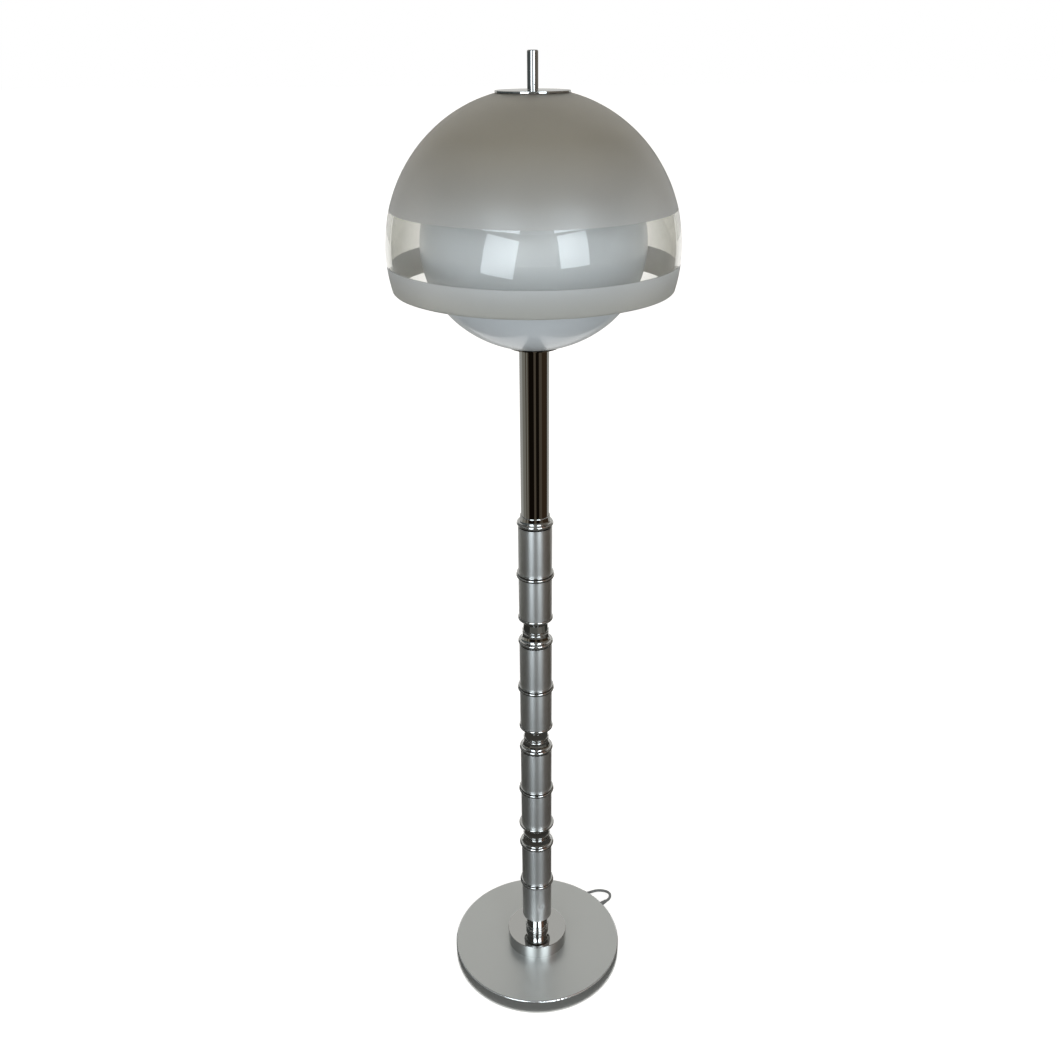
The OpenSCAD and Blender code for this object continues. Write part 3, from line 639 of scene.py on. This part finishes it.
def moulded(name, tone_low, tone_high, roughness, grit_mm):
    """Moulded plastic, rubber or cast metal: an even tone with a fine grit."""
    material, tree = new_material(name)
    point = coordinates(tree)
    grit = add(tree, "ShaderNodeTexNoise", {"Vector": point, "Scale": scale_for(grit_mm), "Detail": 3.0})
    cloud = add(tree, "ShaderNodeTexNoise", {"Vector": point, "Scale": scale_for(40), "Detail": 2.0})
    tone = add(
        tree,
        "ShaderNodeMix",
        {0: cloud, MIX_A: linear(tone_low), MIX_B: linear(tone_high)},
        data_type="RGBA",
    )
    rough = add(
        tree,
        "ShaderNodeMapRange",
        {
            "Value": cloud,
            "From Min": 0.3,
            "From Max": 0.7,
            "To Min": roughness - 0.04,
            "To Max": roughness + 0.06,
        },
    )
    bump = add(tree, "ShaderNodeBump", {"Height": grit, "Strength": 0.25, "Distance": grit_mm * MM / 6})
    surface(tree, {"Base Color": tone.outputs[MIX_OUT], "Roughness": rough, "Normal": bump})
    return material


def plated(name, tone_low, tone_high, roughness):
    """Plain metal as it left the bath or the lathe, a little uneven."""
    material, tree = new_material(name)
    cloud = add(
        tree,
        "ShaderNodeTexNoise",
        {"Vector": coordinates(tree), "Scale": scale_for(16.7), "Detail": 4.0},
    )
    tone = add(
        tree,
        "ShaderNodeMix",
        {0: cloud, MIX_A: linear(tone_low), MIX_B: linear(tone_high)},
        data_type="RGBA",
    )
    rough = add(
        tree,
        "ShaderNodeMapRange",
        {
            "Value": cloud,
            "From Min": 0.3,
            "From Max": 0.7,
            "To Min": roughness - 0.05,
            "To Max": roughness + 0.08,
        },
    )
    surface(tree, {"Base Color": tone.outputs[MIX_OUT], "Metallic": 1.0, "Roughness": rough})
    return material


SATIN_BASE = satin_base_metal()
CHROME = chrome("polished_chrome", "#cacac8", 0.012, 0.03)
TURNED = chrome("turned_polished_steel", "#cdcdcb", 0.05, 0.06)
SLEEVE = satin_sleeve_metal()
# The third tone of each etched glass is its painted glow near the clear band
FROSTED = etched_glass("acid_etched_glass", "#b1ab9e", "#b8b2a5", "#cccbc8", 90 * MM, 0.36, 0.76)
FROSTED_LOW = etched_glass("acid_etched_glass_rim", "#b9b8b2", "#bfbeb8", "#cbcccb", 30 * MM, 0.42, 0.6)
CLEAR = clear_glass()
OPAL = opal_glass()
RUBBER = moulded("black_rubber", "#171717", "#1f1f1f", 0.7, 0.6)
CAST_IRON = moulded("painted_cast_iron", "#232324", "#2c2c2d", 0.6, 1.2)
PVC_GREY = moulded("soft_grey_pvc", "#6c6c6a", "#7a7a78", 0.42, 0.8)
PLASTIC_BLACK = moulded("moulded_black_plastic", "#141414", "#1b1b1b", 0.4, 0.5)
THERMOSET = moulded("ivory_thermoset", "#c9c3b1", "#d3cdbc", 0.4, 0.6)
ENAMEL = moulded("white_enamel", "#c8c8c4", "#d2d2ce", 0.3, 0.9)
BULB_GLASS = moulded("opal_bulb_glass", "#c5c5c3", "#cfcfcd", 0.25, 2.0)
ZINC = plated("zinc_plated_steel", "#8b8d8e", "#a4a6a6", 0.4)
BRASS = plated("bare_brass", "#a88b52", "#bb9c60", 0.35)
# A dark metal painted where grooves and bead undersides fall in shade: painted shade
PAINTED_GROOVE_SHADE = plated("groove_painted_shade_metal", "#24231f", "#34322d", 0.45)

# The finish of each CAD node that no piece of this scene replaces
CAD_FINISH = {
    "base_cover": SATIN_BASE,
    "ballast": CAST_IRON,
    "foot_ring": RUBBER,
    "base_nut": ZINC,
    "tie_rod": ZINC,
    "lower_plug": ZINC,
    "stem_tube": CHROME,
    "upper_plug": CHROME,
    "seat_plate": CHROME,
    "bowl_pads": RUBBER,
    "bowl_cone": ZINC,
    "inner_stem": BRASS,
    "holder_plate": ENAMEL,
    "lampholder": THERMOSET,
    "bulb": BULB_GLASS,
    "bulb_caps": BRASS,
    "top_rod": CHROME,
    "carrier": ZINC,
    "carrier_pad": RUBBER,
    "cap_pad": RUBBER,
    "inner_lead": PVC_GREY,
    "cord_boot": PVC_GREY,
    "plug_pins": BRASS,
}


def finish_cad_nodes():
    """Gives CAD nodes their finish, by their own name or their name without a number."""
    for name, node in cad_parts.items():
        finish = CAD_FINISH.get(name) or CAD_FINISH.get(name.rstrip("_1234"))
        if finish:
            node.data.materials.clear()
            node.data.materials.append(finish)


finish_cad_nodes()


# Glass

GLASS_SMOOTH_UNDER = 50
DOME_WALL = 4.5 * MM
DOME_HOLE_R = 42 * MM
DOME_R, DOME_LOW, DOME_TOP = span("dome")
DOME_C = DOME_TOP - math.sqrt(DOME_R**2 - DOME_HOLE_R**2)
BOWL_WALL = 4 * MM
BOWL_HOLE_R = 7.5 * MM
BOWL_UNDER_R = 162 * MM
BOWL_SIDE_R = 133 * MM
BOWL_WIDEST = 151.5 * MM
_, BOWL_LOW, BOWL_TOP = span("bowl")


def angle_at(z, centre, radius):
    """The angle up from the widest line of a sphere at a height, in degrees."""
    return math.degrees(math.asin((z - centre) / radius))


def make_dome():
    """The glass dome, etched above and below a clear band."""
    inner_r = DOME_R - DOME_WALL
    mid_r = DOME_R - DOME_WALL / 2
    hole = math.degrees(math.acos(DOME_HOLE_R / DOME_R))
    hole_in = math.degrees(math.acos(DOME_HOLE_R / inner_r))
    rim = angle_at(DOME_LOW + DOME_WALL / 2, DOME_C, mid_r)
    low, high = (angle_at(z, DOME_C, DOME_R) for z in (GLASS_BAND_LOW, GLASS_BAND_HIGH))
    axis = (0, DOME_C)
    outer = arc(axis, DOME_R, hole, high, 36)[:-1] + arc(axis, DOME_R, high, low, 16)
    outer += arc(axis, DOME_R, low, rim, 10)[1:]
    inner = arc(axis, inner_r, rim, low, 10)[:-1] + arc(axis, inner_r, low, high, 16)
    inner += arc(axis, inner_r, high, hole_in, 36)[1:]
    rim_at = (mid_r * math.cos(math.radians(rim)), DOME_C + mid_r * math.sin(math.radians(rim)))
    edge = arc(rim_at, DOME_WALL / 2, rim, rim - 180, 8)[1:-1]
    bm = spun(outer + edge + inner, WIDE_TURN_STEPS)
    for face in bm.faces:
        height = face.calc_center_median().z
        face.material_index = 0 if height > GLASS_BAND_HIGH else 1 if height > GLASS_BAND_LOW else 2
    piece = finish_mesh(bm, "dome_glass", [FROSTED, CLEAR, FROSTED_LOW], GLASS_SMOOTH_UNDER)
    place(piece, "shade", ["dome"])


def make_bowl():
    """The opal bowl: a round underside that runs on into a more tightly curved side.

    Its side stands inside the CAD bowl's, which is one wall of the underside's radius.
    """
    under = (0, BOWL_LOW + math.sqrt(BOWL_UNDER_R**2 - BOWL_HOLE_R**2))
    aside = BOWL_WIDEST - BOWL_SIDE_R
    drop = math.sqrt((BOWL_UNDER_R - BOWL_SIDE_R) ** 2 - aside**2)
    side = (aside, under[1] - drop)
    meet = -math.degrees(math.atan2(drop, aside))
    hole = -math.degrees(math.acos(BOWL_HOLE_R / BOWL_UNDER_R))
    hole_in = -math.degrees(math.acos(BOWL_HOLE_R / (BOWL_UNDER_R - BOWL_WALL)))
    mid_r = BOWL_SIDE_R - BOWL_WALL / 2
    rim = angle_at(BOWL_TOP - BOWL_WALL / 2, side[1], mid_r)
    rim_at = (aside + mid_r * math.cos(math.radians(rim)), side[1] + mid_r * math.sin(math.radians(rim)))
    outer = arc(under, BOWL_UNDER_R, hole, meet, 24)[:-1] + arc(side, BOWL_SIDE_R, meet, rim, 36)
    edge = arc(rim_at, BOWL_WALL / 2, rim, rim + 180, 8)[1:-1]
    inner = arc(side, BOWL_SIDE_R - BOWL_WALL, rim, meet, 36)[:-1]
    inner += arc(under, BOWL_UNDER_R - BOWL_WALL, meet, hole_in, 24)
    bm = spun(outer + edge + inner, WIDE_TURN_STEPS)
    piece = finish_mesh(bm, "bowl_glass", [OPAL], GLASS_SMOOTH_UNDER)
    place(piece, "stand", ["bowl"])


make_dome()
make_bowl()


# Turned pieces, in millimetres from the part's own levels

MODULES = 4
ROD_HOLE_R = 8.15
SLEEVE_R = span("upper_sleeve_2")[0] / MM
SLEEVE_IN_R = SLEEVE_R - 1.5
SPIGOT_R = SLEEVE_IN_R - 0.15
SPIGOT_H = 4
SPIGOT_WALL = 3
SPOOL_H = 36
SPOOL_R = 19.25
SPOOL_FOOT_R = SPOOL_R + 1.2
SPOOL_FOOT_H = 1.4
SPOOL_BEAD_R = 1.4
# How far over its foot the spool's beads are
SPOOL_BEADS = (4.6, 10.4)
# Half the height of a ring's broad and narrow bead
RING_BEADS = (2.9, 1.35)
COLLAR_GROOVE = 1.5
COLLAR_BEAD_H = 7
# Each collar's radius at its top and each neck's radius, from the lowest up
COLLAR_TOP_R = (23.15, 21.0, 21.0, 22.6)
NECK_R = (21.75, 19.6, 19.6)
NECK_BAND = 1.4
SLEEVE_EDGE = 0.35
DENT_ROWS = 40
DENT_Z = 124
DENT_AT = math.radians(-90 + 16)
DENT_DEPTH = 2.2
DENT_REACH = (4.5, 6.5)
CAP_THICK = 1.2
CAP_LIP = 1.8
CAP_HOLE_R = 4.1
FINIAL_BORE_R = 4
FINIAL_BORE_H = 28


def make_puck():
    """The polished disc on the base."""
    r, low, high = (v / MM for v in span("puck"))
    outline = [(ROD_HOLE_R, low), (r, low), (r, high, 1.1), (ROD_HOLE_R, high)]
    turned_piece("puck", outline, CHROME, steps=WIDE_TURN_STEPS)


def make_foot_spool():
    """The plain spool between puck and column, with two thin beads over its foot."""
    low = span("foot_spool")[1] / MM
    high = low + SPOOL_H
    foot = low + SPOOL_FOOT_H
    outline = [(ROD_HOLE_R, low), (SPOOL_FOOT_R, low, 0.3)]
    outline += [(SPOOL_FOOT_R, foot, 0.3), (SPOOL_R, foot, 0.2)]
    for level in SPOOL_BEADS:
        outline += arc((SPOOL_R, low + level), SPOOL_BEAD_R, -90, 90, 10)
    outline += [
        (SPOOL_R, high - 4, 1.2),
        (SLEEVE_R - 2.2, high - 2.2, 0.5),
        (SLEEVE_R - 0.8, high - 1.4, 0.4),
        (SLEEVE_R - 0.8, high, 0.3),
        (SPIGOT_R, high),
        (SPIGOT_R, high + SPIGOT_H),
        (ROD_HOLE_R, high + SPIGOT_H),
    ]
    turned_piece("foot_spool", outline, TURNED)


def make_mid_ring(k):
    """The ring between two sleeves: a broad bead under a narrow one, and a spigot into each sleeve."""
    node = f"mid_ring_{k}"
    crest, low, high = (v / MM for v in span(node))
    low, high = low + SPIGOT_H, high - SPIGOT_H
    foot = SLEEVE_R + 0.4
    broad, narrow = RING_BEADS
    outline = [(SPIGOT_R - SPIGOT_WALL, low - SPIGOT_H), (SPIGOT_R, low - SPIGOT_H), (SPIGOT_R, low)]
    outline += bead(crest, foot, low + broad, broad)
    outline += bead(crest - 1.1, foot, high - narrow, narrow)
    outline += [(SPIGOT_R, high), (SPIGOT_R, high + SPIGOT_H), (SPIGOT_R - SPIGOT_WALL, high + SPIGOT_H)]
    # Painted shade: the underside of the broad bead and the hollow between the two beads are painted dark
    painted_shade_bands = ((low, low + 0.7 * broad), (low + 1.85 * broad, high - 1.7 * narrow))
    turned_piece(node, outline, TURNED, painted_shade_bands=painted_shade_bands)


def make_collar(k):
    """The beaded collar on a module, with a groove under it and a hollowed shoulder."""
    node = f"collar_{k}"
    crest, low, high = (v / MM for v in span(node))
    low += SPIGOT_H
    groove = low + COLLAR_GROOVE
    lift = groove + COLLAR_BEAD_H
    top_r = COLLAR_TOP_R[k - 1]
    half = COLLAR_BEAD_H / 2
    rise = high - 1.2 - lift
    draw = crest - half - top_r
    quarter_turn = [math.pi / 2 * i / 8 for i in range(9)]
    outline = [(SPIGOT_R, low - SPIGOT_H), (SPIGOT_R, low), (SLEEVE_R - 1, low), (SLEEVE_R - 1, groove)]
    outline += [(crest - half / 2, groove, 0.25)]
    outline += arc((crest - half, lift - half), half, -60, 60, 12)
    outline += [(crest - half / 2, lift, 0.25)]
    outline += [(top_r + draw * (1 - math.sin(a)), lift + rise * (1 - math.cos(a))) for a in quarter_turn]
    outline += [(top_r, high, 0.5)]
    if k == MODULES:
        seat_r, floor, hollow_r = SLEEVE_R - 4.85, high - 15, SLEEVE_R - 8.85
        outline += [(seat_r, high), (seat_r, floor), (ROD_HOLE_R, floor), (ROD_HOLE_R, floor - 5)]
        outline += [(hollow_r, floor - 5), (hollow_r, low - SPIGOT_H)]
    else:
        inner = SLEEVE_IN_R - 3
        outline += [(ROD_HOLE_R, high), (ROD_HOLE_R, lift - 2)]
        outline += [(inner, lift - 2), (inner, low - SPIGOT_H)]
    # Painted shade: the groove under the bead is painted dark
    turned_piece(node, outline, TURNED, painted_shade_bands=((low - 0.1, groove + 0.5),))


def make_neck(k):
    """The neck between two modules, banded at its foot and flared to a lip."""
    node = f"neck_{k}"
    lip, low, high = (v / MM for v in span(node))
    high -= SPIGOT_H
    neck = NECK_R[k - 1]
    flare = high - 8
    outline = [
        (ROD_HOLE_R, low),
        (neck, low),
        (neck, low + 2.2, 0.2),
        (neck + NECK_BAND, low + 2.2, 0.5),
        (neck + NECK_BAND, low + 4.8, 0.5),
        (neck, low + 4.8, 0.2),
        (neck, flare - 3, 1.5),
        (lip - 3.6, flare + 0.6, 0.8),
        (lip, flare + 4, 0.8),
        (lip, high - 1.6, 0.5),
        (lip - 0.6, high - 0.6, 0.3),
        (SLEEVE_R + 0.2, high),
        (SPIGOT_R, high),
        (SPIGOT_R, high + SPIGOT_H),
        (SPIGOT_R - SPIGOT_WALL, high + SPIGOT_H),
        (SPIGOT_R - SPIGOT_WALL, flare + 3),
        (ROD_HOLE_R, flare + 3),
    ]
    turned_piece(node, outline, TURNED)


def make_sleeve(node, dented=False):
    """A plain satin sleeve with broken edges, and on one of them a small dent."""
    low, high = (v / MM for v in span(node)[1:])
    outline = [(SLEEVE_IN_R, low), (SLEEVE_R, low, SLEEVE_EDGE)]
    if dented:
        outline += [(SLEEVE_R, low + 1 + (high - low - 2) * i / DENT_ROWS) for i in range(DENT_ROWS + 1)]
    outline += [(SLEEVE_R, high, SLEEVE_EDGE), (SLEEVE_IN_R, high)]
    bm = spun(rounded(outline), WIDE_TURN_STEPS if dented else TURN_STEPS)
    if dented:
        at = Vector((SLEEVE_R * math.cos(DENT_AT), SLEEVE_R * math.sin(DENT_AT), DENT_Z)) * MM
        for vert in bm.verts:
            away = vert.co - at
            across = math.hypot(away.x, away.y) / (DENT_REACH[0] * MM)
            up = away.z / (DENT_REACH[1] * MM)
            inward = Vector((vert.co.x, vert.co.y, 0)).normalized() * DENT_DEPTH * MM
            vert.co -= inward * math.exp(-(across**2) - up**2)
    place(finish_mesh(bm, node + "_turned", [SLEEVE]), "stand", [node])


def make_cap_plate():
    """The thin plate on top of the dome, turned down at its edge."""
    r, low, high = (v / MM for v in span("cap_plate"))
    under = high - CAP_THICK
    outline = [(CAP_HOLE_R, under), (r - CAP_LIP, under), (r - CAP_LIP, low)]
    outline += [(r, low), (r, high, 0.6), (CAP_HOLE_R, high)]
    turned_piece("cap_plate", outline, CHROME, "shade")


def make_finial():
    """The rod on top, rounded at its end and bored for the rod it screws onto."""
    r, low, high = (v / MM for v in span("finial"))
    bore = low + FINIAL_BORE_H
    outline = [(0, bore), (FINIAL_BORE_R, bore), (FINIAL_BORE_R, low)]
    outline += [(r, low, 0.3), (r, high, 1.8), (0, high)]
    turned_piece("finial", outline, CHROME, "finial", 96)


make_puck()
make_foot_spool()
for module in range(1, MODULES + 1):
    make_sleeve(f"lower_sleeve_{module}", module == 1)
    make_mid_ring(module)
    make_sleeve(f"upper_sleeve_{module}")
    make_collar(module)
    if module < MODULES:
        make_neck(module)
make_cap_plate()
make_finial()


# Cord and what is on it

HANK_STEPS = int((TURNS + 2 * RUN_SHARE) * LOOP_POINTS)

run = cord_piece("cord_run_pvc", RUN, PVC_GREY)
place(run, "stand", ["cord_run"])
loops = [hank_point(i / LOOP_POINTS - RUN_SHARE) for i in range(HANK_STEPS + 1)]
hank = cord_piece("cord_hank_pvc", LEAD_IN + loops + TAIL, PVC_GREY)
place(hank, "stand", ["cord_hank"])
tie = softened("hank_tie", "stand", PLASTIC_BLACK, 0.4 * MM)
switch = softened("switch_body", "stand", PLASTIC_BLACK, 1.2 * MM)
rocker = softened("switch_rocker", "rocker", PLASTIC_BLACK, 0.5 * MM)
plug = softened("plug_body", "stand", PLASTIC_BLACK, 1.2 * MM)


# Stage and light, in metres

WORLD_LIGHT = 0.6
FLOOR_HALF = 40
FLOOR_Z = -0.3 * MM
# How bright the floor looks near the lamp and far out, and between which distances it changes
FLOOR_NEAR, FLOOR_FAR = 0.76, 0.86
FLOOR_FROM, FLOOR_TO = 0.5, 2.5


def in_sight(tree):
    """1 for rays that start at the camera, a mirror or glass, and 0 for those that only carry light."""
    rays = add(tree, "ShaderNodeLightPath").outputs
    straight = add(
        tree,
        "ShaderNodeMath",
        {0: rays["Is Camera Ray"], 1: rays["Is Transmission Ray"]},
        operation="ADD",
    )
    return add(
        tree,
        "ShaderNodeMath",
        {0: straight, 1: rays["Is Glossy Ray"]},
        operation="ADD",
        use_clamp=True,
    )


def make_world():
    """White where the camera, metal and glass look, and a softer white as light."""
    world = bpy.data.worlds.new("studio")
    world.use_nodes = True
    tree = world.node_tree
    tree.nodes.clear()
    seen = in_sight(tree)
    strength = add(tree, "ShaderNodeMapRange", {"Value": seen, "To Min": WORLD_LIGHT, "To Max": 1.0})
    background = add(tree, "ShaderNodeBackground", {"Color": (1, 1, 1, 1), "Strength": strength})
    add(tree, "ShaderNodeOutputWorld", {"Surface": background})
    bpy.context.scene.world = world


def make_floor():
    """A plain floor, pale to the camera, that keeps the lamp's shadow and throws little light back."""
    bm = bmesh.new()
    bmesh.ops.create_grid(bm, x_segments=1, y_segments=1, size=FLOOR_HALF)
    bmesh.ops.translate(bm, verts=bm.verts, vec=(0, 0, FLOOR_Z))
    material, tree = new_material("pale_floor")
    point = coordinates(tree)
    level = add(
        tree,
        "ShaderNodeMapRange",
        {
            "Value": add(tree, "ShaderNodeVectorMath", {0: point}, operation="LENGTH").outputs["Value"],
            "From Min": FLOOR_FROM,
            "From Max": FLOOR_TO,
            "To Min": FLOOR_NEAR,
            "To Max": FLOOR_FAR,
        },
    )
    glow = add(tree, "ShaderNodeMath", {0: in_sight(tree), 1: level}, operation="MULTIPLY")
    surface(
        tree,
        {
            "Base Color": (0.46, 0.44, 0.41, 1),
            "Roughness": 1.0,
            "Specular IOR Level": 0.0,
            "Emission Color": (1, 1, 1, 1),
            "Emission Strength": glow,
        },
    )
    finish_mesh(bm, "floor", [material])


def make_light(name, at, toward, size, radiance, mirrored, tint=(1, 1, 1), lean=0):
    """A rectangular lamp of an even brightness that the camera doesn't see, leaning by some degrees."""
    data = bpy.data.lights.new(name, "AREA")
    data.shape = "RECTANGLE"
    data.size, data.size_y = size
    data.energy = radiance * math.pi * size[0] * size[1]
    data.color = tint
    light = bpy.data.objects.new(name, data)
    aim = (Vector(toward) - at).to_track_quat("-Z", "Y").to_matrix().to_4x4()
    light.matrix_world = Matrix.Translation(at) @ aim @ Matrix.Rotation(math.radians(lean), 4, "Z")
    light.visible_camera = False
    light.visible_glossy = mirrored
    bpy.context.scene.collection.objects.link(light)


def around(azimuth, reach, height):
    """A point this far from the axis, its azimuth counted from the camera's side towards +X."""
    turn = math.radians(azimuth)
    return Vector((reach * math.sin(turn), -reach * math.cos(turn), height))


def make_boards(name, near, far, tones):
    """Grey boards in a ring that only metal and glass mirror, as a studio sets round polished things.

    near and far are the ring's (reach, height) inside and outside. Each tone starts at an azimuth,
    and the last entry only says where the ring ends.
    """
    for number, ((start, tone), (end, _)) in enumerate(zip(tones, tones[1:])):
        bm = bmesh.new()
        ends = [bm.verts.new(around(start, *near)), bm.verts.new(around(start, *far))]
        bmesh.ops.spin(
            bm,
            geom=ends + [bm.edges.new(ends)],
            cent=(0, 0, 0),
            axis=(0, 0, 1),
            angle=math.radians(end - start),
            steps=max(2, round((end - start) / 5)),
        )
        material, tree = new_material(f"{name}_{number}")
        light = add(tree, "ShaderNodeEmission", {"Color": linear(tone), "Strength": 1.0})
        add(tree, "ShaderNodeOutputMaterial", {"Surface": light})
        board = finish_mesh(bm, f"{name}_{number}", [material])
        board.visible_camera = False
        board.visible_diffuse = False
        board.visible_transmission = False
        board.visible_shadow = False


MAT_Z = 1 * MM
TENT_R = 5.0
TENT_Z = 3.0
CANOPY_Z = TENT_Z + 0.4
ZENITH_Z = TENT_Z + 0.5
PALE, GREY, UMBER, BROWN, BLACK = "#aeaeaa", "#84827a", "#544c41", "#3a2e22", "#130f0a"
NEAR_TONES = [(-150, "#3d3b38"), (150, "")]
MIDDLE_TONES = [(-150, "#454441"), (150, "")]
OUTER_TONES = [
    (-150, "#343432"),
    (-55, "#62635f"),
    (18, "#777671"),
    (58, "#62615c"),
    (95, "#383733"),
    (150, ""),
]
FAR_TONES = [
    (-138, PALE),
    (-108, GREY),
    (-74, UMBER),
    (-64, GREY),
    (-55, UMBER),
    (-46, BLACK),
    (-5, UMBER),
    (11, BLACK),
    (36, UMBER),
    (60, BROWN),
    (118, PALE),
    (222, ""),
]
# Each ring of mats on the floor: how far off it starts and ends, and its tones
MATS = {
    "near_mat": (0.153, 0.36, NEAR_TONES),
    "middle_mat": (0.36, 0.85, MIDDLE_TONES),
    "outer_mat": (0.85, 1.6, OUTER_TONES),
    "far_mat": (1.6, 6, FAR_TONES),
}
WALL_TONES = [(-138, "#525859"), (-60, "#6a6f71"), (-8, "#787977"), (50, "#726c64"), (138, "")]
CANOPY_TONES = [(-138, "#4d4d4b"), (-50, "#3b3b3b"), (42, "#8a6754"), (74, "#55504a"), (138, "")]
ZENITH_TONES = [(-180, "#35342f"), (180, "")]
BACK_TONES = [(138, "#cbcbc8"), (222, "")]
DAYLIGHT = (0.84, 0.93, 1.0)
TO_SHADE = (0, 0, 1.3)
TO_BASE = (0, 0, 0.1)
LEFT, RIGHT = -24.8, 29.3
WINDOW_REACH = 3
# Two windows and a light over each: azimuth, height, where it faces, size, brightness and lean
WINDOWS = {
    "window_left": (LEFT, 1.455, TO_SHADE, (1.3, 1.44), 3.8, -9),
    "window_right": (RIGHT, 1.67, TO_SHADE, (1.17, 1.22), 4.1, 4),
    "fanlight_left": (LEFT, 2.85, TO_BASE, (1.7, 0.95), 5.0, 0),
    "fanlight_right": (RIGHT, 2.85, TO_BASE, (1.6, 0.95), 5.4, 0),
}

make_world()
make_floor()
for name, (azimuth, height, toward, size, radiance, lean) in WINDOWS.items():
    make_light(name, around(azimuth, WINDOW_REACH, height), toward, size, radiance, True, DAYLIGHT, lean)
make_light("fill", around(0, 2.6, 1.9), TO_SHADE, (1.6, 1.6), 1.1, False)
for name, (near, far, tones) in MATS.items():
    make_boards(name, (near, MAT_Z), (far, MAT_Z), tones)
make_boards("wall", (TENT_R, 0), (TENT_R, TENT_Z), WALL_TONES)
make_boards("canopy", (1.5, CANOPY_Z), (TENT_R, CANOPY_Z), CANOPY_TONES)
make_boards("zenith", (0.02, ZENITH_Z), (1.7, ZENITH_Z), ZENITH_TONES)
make_boards("back_board", (2.6, 1.0), (1.9, 4.2), BACK_TONES)

bpy.context.scene.view_settings.view_transform = "Standard"
